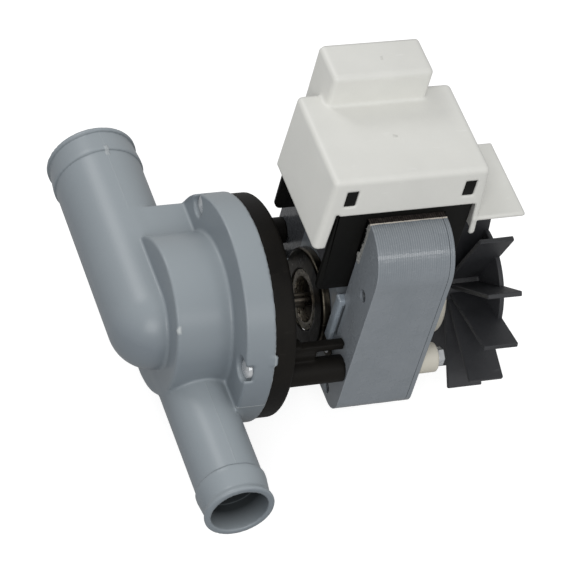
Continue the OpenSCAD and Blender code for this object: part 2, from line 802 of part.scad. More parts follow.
module coil_cover() {
  w = cover_wall;
  lean = cover_lean / cover_drop;
  flare = cover_flare / cover_drop;
  skirt_drop = cover_top - cover_skirt;
  low = cover_low - 1;
  tongue_x = cover_x0 - lean * skirt_drop + tongue_w;
  strip_x = cover_x1 + flare * skirt_drop - strip_w;
  color([0.86, 0.86, 0.83])
  difference() {
    union() {
      intersection() {
        slab_y(cover_y0, cover_y1) hood(cover_x0, cover_x1, cover_low, cover_top, cover_r, lean, flare);
        slab_x(cover_x0 - cover_drop, cover_x1 + cover_drop) hood(cover_y0, cover_y1, low, cover_top, cover_r);
      }
      intersection() {
        slab_y(socket_y0, socket_y1) hood(socket_x0, socket_x1, socket_z0, socket_z1, cover_r);
        slab_x(socket_x0, socket_x1) hood(socket_y0, socket_y1 + 2 * cover_r, socket_z0, socket_z1, cover_r);
      }
      block([cover_x1 - w, cover_y0, flap_z - flap_t], [cover_x1 + flap_l, flap_y1, flap_z]);
    }
    slab_y(cover_y0 + w, cover_y1 - w) polygon([
      [cover_x0 + w, cover_top - w], [cover_x1 - w, cover_top - w],
      [cover_x1 - w + flare * (cover_top - low), low], [cover_x0 + w - lean * (cover_top - low), low]]);
    block([socket_x0 + w, socket_y0 + w, socket_z0 + w], [socket_x1 - w, socket_y1 + 1, socket_z1 - w]);
    slab_y(cover_y0 - 1, cover_y1 + 1) polygon([
      [tongue_x, cover_skirt], [tongue_x, cover_skirt + notch_h], [tongue_x + notch_l, cover_skirt + notch_h],
      [tongue_x + notch_l, cover_skirt], [strip_x, cover_skirt],
      [cover_x1 + cover_flare - strip_w, low], [cover_x0 - cover_lean + tongue_w, low]]);
    for (x = window_xs) block([x, cover_y0 - 1, window_z], [x + window_w, cover_y0 + w + 1, window_z + window_h]);
  }
}

module rear_bracket() {
  color([0.8, 0.77, 0.7])
  difference() {
    union() {
      bar_x(stack_x1, cup_x1, cup_r);
      at_pillars() bar_x(stack_x1, boss_x1, boss_r);
      block([stack_x1, -pillar_y, pillar_z - boss_r + 1], [stack_x1 + foot_t, pillar_y, pillar_z + boss_r - 1]);
      bar_x(stack_x1, stack_x1 + foot_t, shade_y - 0.4);
    }
    difference() {
      bar_x(stack_x1 - 1, cup_x1 - cup_wall, cup_r - cup_wall);
      bar_x(rear_clip_x, cup_x1, hub_r);
    }
    bar_x(rear_clip_x - 1, rear_felt_x + felt_t + slip, bush_r + slip);
    bar_x(stack_x1 - 1, cup_x1 + 1, shaft_r + 1);
    at_pillars() bar_x(stack_x1 - 1, boss_x1 + 1, bolt_r + fit);
    at_shaded_poles() block([stack_x1 - 1, shade_y - 0.3, shade_z0 - 0.3],
      [stack_x1 + foot_t + 1, shade_y + shade_w + 0.3, pole_up + 1]);
  }
}

module rear_bush() { bush(rear_bush_x); }
module rear_bush_clip() { bush_clip(rear_clip_x); }
module rear_felt_ring() { felt_ring(rear_felt_x); }

module motor_screws() {
  head_x = boss_x1 + bolt_washer_t;
  color([0.76, 0.78, 0.8])
  at_pillars() {
    bar_x(stack_x0 - bolt_bite + 1, head_x + 1, bolt_r);
    bar_x(boss_x1, head_x, bolt_washer_r);
    translate([boss_x1 + 0.2, 0, 0]) rotate([0, 90, 0])
      cylinder(h = bolt_head_h + bolt_washer_t - 0.2, r = bolt_head_r, $fn = 6);
  }
}

module fan() {
  color([0.18, 0.18, 0.19])
  difference() {
    union() {
      bar_x(fan_x0 - fan_hub_lead, fan_x1, fan_hub_r);
      bar_x(fan_x1 - fan_disc_t, fan_x1, fan_disc_r);
      for (k = [0 : fan_blades - 1]) rotate([fan_turn + k * 360 / fan_blades, 0, 0])
        block([fan_x0, fan_hub_r - 1, -fan_blade_t / 2], [fan_x1, fan_r, fan_blade_t / 2]);
    }
    bar_x(fan_x0 - fan_hub_lead - 1, fan_x1 + 1, shaft_r + eps / 2);
  }
}

module fan_clip() {
  color([0.72, 0.73, 0.74])
  difference() {
    bar_x(fan_x1, fan_x1 + fan_clip_t, shaft_r + 3.4);
    bar_x(fan_x1 - 1, fan_x1 + fan_clip_t + 1, shaft_r + eps / 2);
    for (a = [0 : 60 : 300]) rotate([a, 0, 0])
      block([fan_x1 - 1, 0, -0.5], [fan_x1 + fan_clip_t + 1, shaft_r + 1.6, 0.5]);
  }
}

pump_housing();
housing_screws();
housing_seal();
back_plate();
shaft_seal();
front_felt_ring();
front_bush();
front_bush_clip();
impeller();
impeller_nut();
slinger_ring();
thrust_washers();
shaft();
rotor_core();
rotor_cage();
rotor_shield();
shield_rivets();
stator_stack();
coil_core();
stack_rivets();
shading_rings();
coil_bobbin();
coil_winding();
coil_tape();
thermal_cutout();
terminal_tabs();
coil_cover();
rear_bracket();
rear_bush();
rear_bush_clip();
rear_felt_ring();
motor_screws();
fan();
fan_clip();
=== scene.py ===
import math
import bmesh
import bpy
import numpy as np
from mathutils import Matrix, Vector


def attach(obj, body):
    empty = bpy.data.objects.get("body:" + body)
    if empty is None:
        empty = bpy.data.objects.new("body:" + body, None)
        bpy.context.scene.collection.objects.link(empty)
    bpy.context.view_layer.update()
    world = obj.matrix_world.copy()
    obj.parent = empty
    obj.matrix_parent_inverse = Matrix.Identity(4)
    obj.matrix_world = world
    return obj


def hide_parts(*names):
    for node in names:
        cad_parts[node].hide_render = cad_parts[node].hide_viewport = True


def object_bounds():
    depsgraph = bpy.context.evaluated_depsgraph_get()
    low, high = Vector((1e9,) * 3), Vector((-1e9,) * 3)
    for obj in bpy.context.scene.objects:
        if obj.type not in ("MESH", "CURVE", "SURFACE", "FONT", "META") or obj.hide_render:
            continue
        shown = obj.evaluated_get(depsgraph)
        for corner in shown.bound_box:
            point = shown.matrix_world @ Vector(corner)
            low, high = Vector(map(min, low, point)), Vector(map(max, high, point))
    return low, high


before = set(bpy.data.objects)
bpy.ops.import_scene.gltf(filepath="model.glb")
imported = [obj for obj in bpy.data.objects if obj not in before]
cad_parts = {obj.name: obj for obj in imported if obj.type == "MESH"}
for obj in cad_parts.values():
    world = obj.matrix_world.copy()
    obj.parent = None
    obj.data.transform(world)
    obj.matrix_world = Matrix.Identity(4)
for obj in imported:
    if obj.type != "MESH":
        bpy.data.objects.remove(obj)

cad_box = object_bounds()
mm = 0.001


# Pump housing
# One grey polypropylene moulding: the flange with its drum, the inlet elbow on its web, and the outlet tube.
# The mould rounds its corners, and two steel cores that are pulled out along Y leave the bores of the tubes.

FLANGE_R, FLANGE_T = 48.0, 12.6
DRUM_R, DRUM_H, DRUM_WALL, CHAMBER_R, EYE_R = 32.75, 36.6, 2.6, 30.15, 11.0
INLET_X, INLET_R, INLET_BORE, INLET_END, ELBOW_Y = -37.0, 19.0, 16.4, 90.0, -4.0
OUTLET_X, OUTLET_Z, OUTLET_R, OUTLET_BORE, OUTLET_END = -22.5, -18.63, 14.1, 12.05, 90.4
BARB_GAP, BARB_H, LIP_W, LIP_H = 13.4, 0.7, 2.3, 0.6
THROAT_Y, THROAT_R, NUB_ANGLE = 31.15, 11.45, 291
GROOVE_R, GROOVE_HALF, GROOVE_DEPTH = 35.1, 1.55, 3.0
SCREW_CIRCLE, SCREW_ANGLES, SCREW_HOLE_R, POCKET_R, POCKET_X = 43.5, (45, 165, 285), 2.15, 5.2, -9.0
STEEL_STEP = 0.5


def cut_corners(corners):
    """A closed outline of (u, v, radius) corners, with an arc at each corner that has a radius."""
    points = []
    for k, (u, v, r) in enumerate(corners):
        here = np.array((u, v), float)
        if r <= 0:
            points.append(here)
            continue
        before = np.array(corners[k - 1][:2], float) - here
        after = np.array(corners[(k + 1) % len(corners)][:2], float) - here
        before /= np.linalg.norm(before)
        after /= np.linalg.norm(after)
        half = math.acos(max(-1.0, min(1.0, float(before @ after)))) / 2
        centre = here + (before + after) / np.linalg.norm(before + after) * r / math.sin(half)
        start = here + before * r / math.tan(half) - centre
        end = here + after * r / math.tan(half) - centre
        a0 = math.atan2(start[1], start[0])
        turn = (math.atan2(end[1], end[0]) - a0 + math.pi) % (2 * math.pi) - math.pi
        steps = max(2, math.ceil(abs(turn) * r / STEEL_STEP))
        for k2 in range(steps + 1):
            a = a0 + turn * k2 / steps
            points.append(centre + r * np.array((math.cos(a), math.sin(a))))
    return np.array(points)


def outline_depth(points, u, v):
    """Distance to a closed outline, negative inside it."""
    nearest = np.full(np.shape(u), 1e9)
    side = np.ones(np.shape(u))
    for a, b in zip(points, np.roll(points, -1, axis=0)):
        e = b - a
        wu, wv = u - a[0], v - a[1]
        t = np.clip((wu * e[0] + wv * e[1]) / (e @ e + 1e-12), 0, 1)
        nearest = np.minimum(nearest, (wu - t * e[0]) ** 2 + (wv - t * e[1]) ** 2)
        over, under, left = v >= a[1], v < b[1], e[0] * wv > e[1] * wu
        side = np.where((over & under & left) | (~over & ~under & ~left), -side, side)
    return side * np.sqrt(nearest)


def rounded(q, r):
    """Distance to a solid from the distances q to its faces, with its edges rounded by r."""
    q = [c + r for c in q]
    return np.sqrt(sum(np.maximum(c, 0) ** 2 for c in q)) + np.minimum(np.max(q, axis=0), 0) - r


def block_depth(p, low, high, r=0.0):
    """Distance to a box with its edges rounded by r."""
    return rounded([np.abs(c - (a + b) / 2) - (b - a) / 2 for c, a, b in zip(p, low, high)], r)


def rod_depth(u, v, w, r, w0, w1, edge=0.0):
    """Distance to a round rod of radius r about u = v = 0, from w0 to w1."""
    return rounded([np.hypot(u, v) - r, np.abs(w - (w0 + w1) / 2) - (w1 - w0) / 2], edge)


def melt(a, b, r):
    """Join two solids with a fillet of about r."""
    h = np.maximum(r - np.abs(a - b), 0) / r
    return np.minimum(a, b) - h * h * r / 4


def pare(a, b, r):
    """Take the solid b out of a, with a soft edge of about r."""
    return -melt(-a, b, r)


def round_shaft(radius, degrees):
    """The (y, z) of a place round the shaft, counted from +Z towards +Y."""
    return radius * math.sin(math.radians(degrees)), radius * math.cos(math.radians(degrees))


def spun(x, y, z, degrees):
    """A place turned about the shaft, from +Z towards +Y."""
    sine, cosine = round_shaft(1.0, degrees)
    return x, y * cosine + z * sine, z * cosine - y * sine


def steps_between(*stops):
    """Grid lines through (place, step) stops, each step held up to the next place."""
    lines = []
    for (a, step), (b, _) in zip(stops, stops[1:]):
        lines += list(np.linspace(a, b, max(1, round((b - a) / step)), endpoint=False))
    return np.array(lines + [stops[-1][0]])


def placed(name, mesh):
    """An object of a mesh, in the scene at the origin."""
    piece = bpy.data.objects.new(name, mesh)
    bpy.context.scene.collection.objects.link(piece)
    return piece


def moulded_skin(name, depth, *stops):
    """Wrap a closed skin of four-sided faces round the solid that depth is negative in."""
    lines = [steps_between(*s) for s in stops]
    groups = [np.arange(len(line)) // 6 for line in lines]
    ends = [np.array([line[group == g][[0, -1]] for g in range(group[-1] + 1)])
            for line, group in zip(lines, groups)]
    reach = np.sqrt(sum(c ** 2 for c in np.meshgrid(*[(e[:, 1] - e[:, 0]) / 2 for e in ends], indexing="ij")))
    coarse = depth(*np.meshgrid(*[e.mean(axis=1) for e in ends], indexing="ij"))
    value = coarse[np.ix_(*groups)]
    near = (np.abs(coarse) < reach + 3.0)[np.ix_(*groups)]
    p = np.meshgrid(*lines, indexing="ij")
    value[near] = depth(*(c[near] for c in p))
    cells = tuple(n - 1 for n in value.shape)
    total, hits = np.zeros(cells + (3,)), np.zeros(cells)
    for order in ((0, 1, 2), (1, 2, 0), (2, 0, 1)):
        v = value.transpose(order)
        at = [p[k].transpose(order) for k in range(3)]
        crossed = (v[:-1] < 0) != (v[1:] < 0)
        share = np.where(crossed, v[:-1] / np.where(crossed, v[:-1] - v[1:], 1), 0)
        spot = [at[k][:-1] + (at[k][1:] - at[k][:-1]) * share for k in range(3)]
        back = tuple(np.argsort(order))
        for b, c in ((0, 0), (0, 1), (1, 0), (1, 1)):
            part = (slice(None), slice(b, b + v.shape[1] - 1), slice(c, c + v.shape[2] - 1))
            hits += crossed[part].transpose(back)
            for k in range(3):
                total[..., k] += (crossed[part] * spot[k][part]).transpose(back)
    used = hits > 0
    ids = np.full(cells, -1)
    ids[used] = np.arange(used.sum())
    points = total[used] / hits[used][:, None]
    faces = []
    for order in ((0, 1, 2), (1, 2, 0), (2, 0, 1)):
        v, c = value.transpose(order), ids.transpose(order)
        i, j, k = np.nonzero(((v[:-1] < 0) != (v[1:] < 0))[:, 1:-1, 1:-1])
        quad = np.stack([c[i, j, k], c[i, j + 1, k], c[i, j + 1, k + 1], c[i, j, k + 1]], 1)
        outward = v[i, j + 1, k + 1] < 0
        quad[~outward] = quad[~outward][:, ::-1]
        faces.append(quad)
    nudge = 0.02
    for _ in range(5):
        slope = np.stack([depth(*(points + step).T) - depth(*(points - step).T)
                          for step in nudge * np.eye(3)], 1) / (2 * nudge)
        move = slope * (depth(*points.T) / np.maximum((slope ** 2).sum(1), 0.25))[:, None]
        points = points - np.clip(move, -0.5, 0.5)
    mesh = bpy.data.meshes.new(name)
    mesh.from_pydata((points * mm).tolist(), [], np.concatenate(faces).tolist())
    mesh.validate()
    mesh.shade_smooth()
    return placed(name, mesh)


SCREW_SPOTS = [round_shaft(SCREW_CIRCLE, a) for a in SCREW_ANGLES]
flange_outline = cut_corners([(0, -FLANGE_T, 0), (FLANGE_R, -FLANGE_T, 0.4), (FLANGE_R, 0, 0.3), (0, 0, 0)])
drum_outline = cut_corners([(0, -DRUM_H, 0), (DRUM_R, -DRUM_H, 0.8), (DRUM_R, -2, 0), (0, -2, 0)])


def tube_outline(r, start, end, slope=0.0):
    """Half the outside of a hose tube: a barb with a sharp heel, a shallow groove and a round lip."""
    heel, lip = end - BARB_GAP, end - LIP_W
    return cut_corners([
        (0, start, 0), (r, start, 0), (r, heel, 0.1), (r + BARB_H, heel + 0.25, 0.2),
        (r + BARB_H, heel + 2.2, 1.5), (r - 0.25, lip - slope, 0.1 + slope),
        (r + LIP_H, lip + 0.2 + slope / 2, 0.25), (r + LIP_H, end, 0.7), (0, end, 0)])


inlet_outline = tube_outline(INLET_R, ELBOW_Y, INLET_END)
outlet_outline = tube_outline(OUTLET_R, 0.0, OUTLET_END, slope=1.2)
web_half = INLET_R - 0.4
web_end = math.sqrt(FLANGE_R ** 2 - web_half ** 2)


def housing_depth(x, y, z):
    flange = outline_depth(flange_outline, np.hypot(y, z), x)
    drum = outline_depth(drum_outline, np.hypot(y, z), x)
    inlet = outline_depth(inlet_outline, np.hypot(x - INLET_X, z), y)
    ball = np.sqrt((x - INLET_X) ** 2 + (y - ELBOW_Y) ** 2 + z ** 2)
    elbow = np.minimum(inlet, ball - INLET_R)
    web = block_depth((x, y, z), (INLET_X, 0, -web_half), (-1.0, web_end, web_half), 1.5)
    outlet = outline_depth(outlet_outline, np.hypot(x - OUTLET_X, z - OUTLET_Z), -y)
    body = melt(flange, drum, 1.4)
    body = melt(melt(body, web, 0.9), elbow, 1.1)
    body = melt(body, outlet, 0.8 + 1.0 * np.clip((x + 22.0) / 8.0, 0, 1))
    nub = block_depth(spun(x, y, z, 90 - NUB_ANGLE), (-2, 46.6, -2.2), (1.1, 48.3, 2.2), 0.5)
    body = melt(body, nub, 0.6)
    chamber = rod_depth(y, z, x, CHAMBER_R, -(DRUM_H - DRUM_WALL), 3.0)
    throat = rod_depth(x - OUTLET_X, z - OUTLET_Z, -y, THROAT_R, 0.0, THROAT_Y + 1)
    elbow_skin = np.minimum(rod_depth(x - INLET_X, z, y, INLET_R, ELBOW_Y, 60.0), ball - INLET_R)
    way = np.minimum.reduce([
        np.maximum(np.minimum(chamber, throat), -elbow_skin), ball - INLET_BORE,
        rod_depth(x - OUTLET_X, z - OUTLET_Z, -y, OUTLET_BORE, THROAT_Y, OUTLET_END + 3),
        rod_depth(x - INLET_X, z, y, INLET_BORE, ELBOW_Y, INLET_END + 3),
        rod_depth(y, z, x, EYE_R, INLET_X, INLET_X + INLET_R + 1),
        np.maximum(np.abs(np.hypot(y, z) - GROOVE_R) - GROOVE_HALF, -GROOVE_DEPTH - x)])
    body = pare(body, way, 0.5)
    for sy, sz in SCREW_SPOTS:
        body = pare(body, rod_depth(y - sy, z - sz, x, POCKET_R, -20.0, POCKET_X), 0.7)
        body = pare(body, rod_depth(y - sy, z - sz, x, SCREW_HOLE_R, -15.0, 3.0), 0.2)
    return body


housing = moulded_skin("housing_moulding", housing_depth,
                       ((-57.3, 1.05), (-14.0, 0.7), (-8.4, 1.05), (-1.2, 0.55), (1.8, 1)),
                       ((-91.6, 0.55), (-73.0, 1.05), (73.0, 0.55), (91.2, 1)), ((-49.4, 1.0), (49.4, 1)))


def feed(into, value):
    """Set an input to a plain value, or link another node's output to it."""
    if isinstance(value, bpy.types.NodeSocket):
        into.id_data.links.new(value, into)
    else:
        into.default_value = value


def add_node(tree, kind, *feeds, out=0, **named):
    """Add a node with its inputs fed by place or by name, and give one of its outputs."""
    node = tree.nodes.new(kind)
    for key, value in named.items():
        if key in node.bl_rna.properties:
            setattr(node, key, value)
        else:
            feed(node.inputs[key.replace("_", " ")], value)
    for into, value in zip(node.inputs, feeds):
        if value is not None:
            feed(into, value)
    return node.outputs[out]


def joined(kind, *feeds, **named):
    """A node in the tree of the first socket that feeds it."""
    tree = next(value.id_data for value in feeds if isinstance(value, bpy.types.NodeSocket))
    return add_node(tree, kind, *feeds, **named)


def figure(operation, *feeds):
    """A sum on plain numbers."""
    return joined("ShaderNodeMath", *feeds, operation=operation)


def arrow(operation, *feeds, **named):
    """A sum on vectors."""
    return joined("ShaderNodeVectorMath", *feeds, operation=operation, **named)


def ramp(*feeds):
    """A value brought from one range (From Min, From Max) to another (To Min, To Max), and held in it."""
    return joined("ShaderNodeMapRange", *feeds)


def blend(share, a, b):
    """Two colours mixed by a share from 0 to 1."""
    mix = joined("ShaderNodeMix", share, out=2, data_type="RGBA")
    feed(mix.node.inputs[6], a)
    feed(mix.node.inputs[7], b)
    return mix


def group_of(name, kind, inputs, outputs):
    """A node group, the sockets that bring its inputs, and the sockets that take its outputs."""
    group = bpy.data.node_groups.new(name, kind)
    kinds = {float: "Float", int: "Int", tuple: "Vector"}
    for way, items in (("INPUT", inputs), ("OUTPUT", outputs)):
        for label, value in items.items():
            sort = kinds.get(type(value), value)
            made = group.interface.new_socket(name=label, in_out=way, socket_type="NodeSocket" + sort)
            if sort != value:
                made.default_value = value
    return group, group.nodes.new("NodeGroupInput").outputs, group.nodes.new("NodeGroupOutput").inputs


def spot_in(tree, axis=None):
    """The object coordinates of the spot that is shaded, or one of them."""
    spot = add_node(tree, "ShaderNodeTexCoord", out="Object")
    return joined("ShaderNodeSeparateXYZ", spot, out=axis) if axis else spot


# Skin that a mould or a casting leaves: broad cloudy shade, fine grain, and short rubbed scratches
skin, skin_in, skin_out = group_of(
    "moulded skin", "ShaderNodeTree", {"Cloud Size": 40.0, "Grain Size": 1800.0, "Grain Depth": 0.5},
    {"Shade": 0.0, "Rub": 0.0, "Height": 0.0})
spot = spot_in(skin)
cloud = add_node(skin, "ShaderNodeTexNoise", spot, Scale=skin_in["Cloud Size"], Detail=4.0, Roughness=0.6)
grain = add_node(skin, "ShaderNodeTexNoise", spot, Scale=skin_in["Grain Size"], Detail=2.0, Roughness=0.5)
stretch = add_node(skin, "ShaderNodeMapping", spot, Rotation=(0.5, 0.7, 0.3), Scale=(90.0, 260.0, 700.0))
scratch = add_node(skin, "ShaderNodeTexNoise", stretch, Scale=1.0, Detail=3.0, Roughness=0.55)
rubbed = ramp(scratch, 0.66, 0.8)
grain_height = figure("MULTIPLY", grain, skin_in["Grain Depth"])
rub_dip = figure("MULTIPLY_ADD", rubbed, -0.35, grain_height)
feed(skin_out["Shade"], cloud)
feed(skin_out["Rub"], rubbed)
feed(skin_out["Height"], figure("MULTIPLY_ADD", cloud, 0.4, rub_dip))


def srgb(colour):
    """A colour as a paint chart gives it, from 0 to 255, as the light that it sends back."""
    shares = [c / 255 for c in colour]
    return tuple(c / 12.92 if c <= 0.0404 else ((c + 0.055) / 1.055) ** 2.4 for c in shares) + (1.0,)


def finish(name, light, dark, rough, feel, rub=None, metallic=0.0, coat=0.0, specular=0.5):
    """A material on the moulded skin: two near colours clouded together, with rubbed marks over them.

    The feel holds the cloud's size, the grain's size, the grain's depth, and the height in millimetres.
    """
    material = bpy.data.materials.new(name)
    material.use_nodes = True
    tree = material.node_tree
    shader = tree.nodes["Principled BSDF"].inputs
    feed(shader["Metallic"], metallic)
    feed(shader["Coat Weight"], coat)
    feed(shader["Specular IOR Level"], specular)
    cloud, grain, grain_depth, height = feel
    shade = add_node(tree, "ShaderNodeGroup", cloud, grain, grain_depth, node_tree=skin)
    marks = shade.node.outputs
    clouded = blend(ramp(shade, 0.3, 0.7), srgb(dark), srgb(light))
    feed(shader["Base Color"], blend(marks["Rub"], clouded, srgb(rub or light)))
    feed(shader["Roughness"], ramp(shade, 0.25, 0.75, *rough))
    feed(shader["Normal"], add_node(tree, "ShaderNodeBump", Distance=height * mm, Height=marks["Height"]))
    return material


def coated(piece, material):
    """Give a piece its finish."""
    piece.data.materials.clear()
    piece.data.materials.append(material)
    return piece


def dress(node, material):
    """Give a CAD node its finish."""
    coated(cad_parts[node], material)


def mount(piece, slot, *nodes, body="pump_and_motor"):
    """Let a piece stand for its CAD nodes: hide them and put the piece on their body."""
    if nodes:
        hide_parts(*nodes)
    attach(piece, body)


def lay_on(material, mask, colour, raised=0.0):
    """Tint a material where a mask is, and raise its surface there, or sink it."""
    tree = material.node_tree
    shader = tree.nodes["Principled BSDF"].inputs
    feed(shader["Base Color"], blend(mask, shader["Base Color"].links[0].from_socket, srgb(colour)))
    if raised:
        feed(shader["Normal"], add_node(
            tree, "ShaderNodeBump", invert=raised < 0, Distance=abs(raised) * mm, Height=mask,
            Normal=shader["Normal"].links[0].from_socket))


# Mask of a box whose edge is soft and wanders a little, for a seam, a gate mark, a bare edge, or painted light
# and shade
box_mask, box_in, box_out = group_of(
    "soft box", "ShaderNodeTree", {"Middle": (0.0, 0.0, 0.0), "Half": (0.0, 0.0, 0.0), "Soft": 0.0,
                                   "Wander": 0.0, "Strength": 1.0}, {"Mask": 0.0})
spot = spot_in(box_mask)
stray = add_node(box_mask, "ShaderNodeTexNoise", spot, Scale=330.0, Detail=2.0, out="Color")
bend = arrow("SUBTRACT", stray, (0.5, 0.5, 0.5))
bend = arrow("SCALE", bend, Scale=figure("MULTIPLY", box_in["Wander"], 2.0))
away = arrow("SUBTRACT", arrow("ADD", spot, bend), box_in["Middle"])
past = arrow("SUBTRACT", arrow("ABSOLUTE", away), box_in["Half"])
past = joined("ShaderNodeSeparateXYZ", past).node.outputs
most = figure("MAXIMUM", figure("MAXIMUM", past["X"], past["Y"]), past["Z"])
inner = figure("MULTIPLY", box_in["Soft"], -1.0)
feed(box_out["Mask"], ramp(most, box_in["Soft"], inner, 0.0, box_in["Strength"]))


def mark_box(material, low, high, colour, strength=1.0, soft=0.12, wander=0.25, raised=0.0):
    """Tint a material inside a box in millimetres."""
    middle = [(a + b) / 2 * mm for a, b in zip(low, high)]
    half = [(b - a) / 2 * mm for a, b in zip(low, high)]
    mask = add_node(material.node_tree, "ShaderNodeGroup", middle, half, soft * mm, wander * mm, strength,
                    node_tree=box_mask)
    lay_on(material, mask, colour, raised)


def mark_bore(material, x, z, r, mouth, deepest, colour, strength):
    """Tint a material inside a round bore along Y, from its mouth to the deepest place and out again."""
    tree = material.node_tree
    span = abs(mouth - deepest) * mm
    flat = arrow("MULTIPLY", spot_in(tree), (1.0, 0.0, 1.0))
    away = arrow("DISTANCE", flat, (x * mm, 0.0, z * mm), out="Value")
    inside = ramp(away, (r + 0.6) * mm, (r + 0.2) * mm)
    gap = figure("ABSOLUTE", figure("SUBTRACT", spot_in(tree, "Y"), deepest * mm))
    deep = ramp(gap, span, span * 0.62, 0.0, strength)
    lay_on(material, figure("MULTIPLY", inside, deep), colour)


grey_moulding = finish("grey polypropylene", (129, 137, 143), (122, 130, 137), (0.3, 0.36),
                       (28, 900, 0.35, 0.06), (130, 138, 143), specular=0.32)

# The sides that face up are painted paler, as painted light falling from above
side = add_node(grey_moulding.node_tree, "ShaderNodeNewGeometry", out="Normal")
facing = arrow("DOT_PRODUCT", side, Vector((0.2, 0.2, 0.95)).normalized(), out="Value")
lay_on(grey_moulding, ramp(facing, -0.05, 1.1), (159, 167, 172))

# Painted shade: the tubes' mouths are darkened inside towards their depth, and thin dark lines lie in the
# creases of the barbs
bore_shade_grey = (40, 44, 46)
crease_shade_grey = (108, 115, 119)
mark_bore(grey_moulding, OUTLET_X, OUTLET_Z, OUTLET_BORE, 0.2 - OUTLET_END, 26.0 - OUTLET_END, bore_shade_grey,
          0.95)
mark_bore(grey_moulding, INLET_X, 0.0, INLET_BORE, INLET_END - 0.2, INLET_END - 30.0, bore_shade_grey, 0.95)
for x, y, z, reach in ((INLET_X, INLET_END - BARB_GAP, 0.0, INLET_R + 1),
                       (INLET_X, INLET_END - LIP_W - 0.05, 0.0, INLET_R + 1),
                       (OUTLET_X, BARB_GAP - OUTLET_END, OUTLET_Z, OUTLET_R + 1)):
    mark_box(grey_moulding, (x - reach, y - 0.2, z - reach), (x + reach, y + 0.2, z + reach), crease_shade_grey,
             0.7, soft=0.2, wander=0.06)

# The mould's parting lines run along the tops of both tubes and round the flange, and the rim below the side
# parting line is painted darker as shade
seam_grey = (174, 181, 184)
for low, high, colour, strength, soft, wander, raised in (
        ((INLET_X - 0.12, 43, 10), (INLET_X + 0.12, 88, 22), seam_grey, 0.35, 0.12, 0.35, 0.2),
        ((INLET_X - 0.9, 74, 10), (INLET_X + 0.9, 79, 22), (184, 189, 191), 0.6, 0.12, 0.9, 0.3),
        ((OUTLET_X - 0.12, -78, -12), (OUTLET_X + 0.12, -34, 0), seam_grey, 0.4, 0.12, 0.25, 0.2),
        ((-0.35, -50, -14), (0.2, 30, 50), (172, 178, 180), 0.7, 0.12, 0.45, 0.0),
        ((-12.8, -48.5, -7.15), (0.2, -46.0, -6.65), (180, 186, 188), 0.8, 0.12, 0.15, 0.2),
        # Painted shade: the flange's rim below the side parting line, darker where it turns down
        ((-12.7, -48.5, -30), (0.2, -30.0, -7.1), (122, 130, 136), 0.8, 0.12, 0.15, 0.0),
        ((-37.2, -27.3, 18.9), (-35.0, -24.8, 21.4), (190, 195, 196), 0.85, 0.45, 0.6, 0.3)):
    mark_box(grey_moulding, low, high, colour, strength, soft, wander, raised)
mount(coated(housing, grey_moulding), "grey_plastic", "pump_housing")


# Housing seal
# A black rubber ring of round section that lies in the groove of the flange.
# The back plate squeezes it flat when the three screws are driven.

rubber = finish("black rubber", (36, 36, 37), (27, 27, 28), (0.55, 0.7), (60, 2600, 0.7, 0.05))
dress("housing_seal", rubber)


# Housing screws
# Three zinc-plated steel screws with pan heads and cross recesses, sunk in pockets of the flange.
# They are driven by hand, so no two of their recesses stand the same way.

HEAD_R, HEAD_TOP, HEAD_FOOT, HEAD_ROUND = 4.0, -11.8, -9.0, 8.1
SHANK_R, SHANK_END, RECESS_HALF, RECESS_R, RECESS_FOOT = 1.95, 6.0, 0.45, 2.3, -10.1


def screw_depth(x, y, z):
    around = np.hypot(y, z)
    dome = np.sqrt((x - HEAD_TOP - HEAD_ROUND) ** 2 + around ** 2) - HEAD_ROUND
    head = np.maximum(rod_depth(y, z, x, HEAD_R, HEAD_TOP, HEAD_FOOT, 0.35), dome)
    shank = np.maximum(rod_depth(y, z, x, SHANK_R, HEAD_FOOT - 0.5, SHANK_END, 0.3), around - (6.9 - x) * 0.75)
    sunk = np.maximum.reduce([
        np.abs(y) * 0.5, np.abs(z) * 0.5, np.minimum(np.abs(y), np.abs(z)) - RECESS_HALF,
        around - RECESS_R + (x - HEAD_TOP) * 0.35, x - RECESS_FOOT])
    return pare(melt(head, shank, 0.4), sunk, 0.25)


def planted(enter, part, spot, **turned):
    """Copies of a part at the spots, made real and in their finish."""
    points = joined("GeometryNodePoints", enter["Count"], spot)
    copies = joined("GeometryNodeInstanceOnPoints", points, Instance=enter[part], **turned)
    real = joined("GeometryNodeRealizeInstances", copies)
    return joined("GeometryNodeSetMaterial", real, Material=enter["Finish"])


# Set copies of a part round the shaft, each rolled by chance about its own axis
round_the_shaft, enter, leave = group_of(
    "set round the shaft", "GeometryNodeTree",
    {"Part": "Geometry", "Count": 3, "First Angle": 0.0, "Circle": 0.0, "Roll": 0.0, "Seed": 0,
     "Finish": "Material"}, {"Ring": "Geometry"})
share = figure("DIVIDE", add_node(round_the_shaft, "GeometryNodeInputIndex"), enter["Count"])
turn = figure("MULTIPLY_ADD", share, 2 * math.pi, enter["First Angle"])
way = joined("ShaderNodeCombineXYZ", 0.0, figure("SINE", turn), figure("COSINE", turn))
chance = joined("FunctionNodeRandomValue", None, None, figure("MULTIPLY", enter["Roll"], -1.0), enter["Roll"],
                out=1, data_type="FLOAT", Seed=enter["Seed"])
spin = joined("ShaderNodeCombineXYZ", figure("SUBTRACT", chance, turn))
feed(leave["Ring"], planted(enter, "Part", arrow("SCALE", way, Scale=enter["Circle"]), Rotation=spin))


def made_plain(item):
    """Turn an object with its modifiers into one plain mesh."""
    mesh = bpy.data.meshes.new_from_object(item.evaluated_get(bpy.context.evaluated_depsgraph_get()))
    item.modifiers.clear()
    item.data = mesh
    return item


def grown(part, tree, **inputs):
    """Run a node tree on a part with the named inputs, and keep the plain result."""
    modifier = part.modifiers.new("grow", "NODES")
    modifier.node_group = tree
    for item in tree.interface.items_tree:
        key = item.name.replace(" ", "_")
        if item.item_type == "SOCKET" and item.in_out == "INPUT" and key in inputs:
            modifier[item.identifier] = inputs[key]
    return made_plain(part)


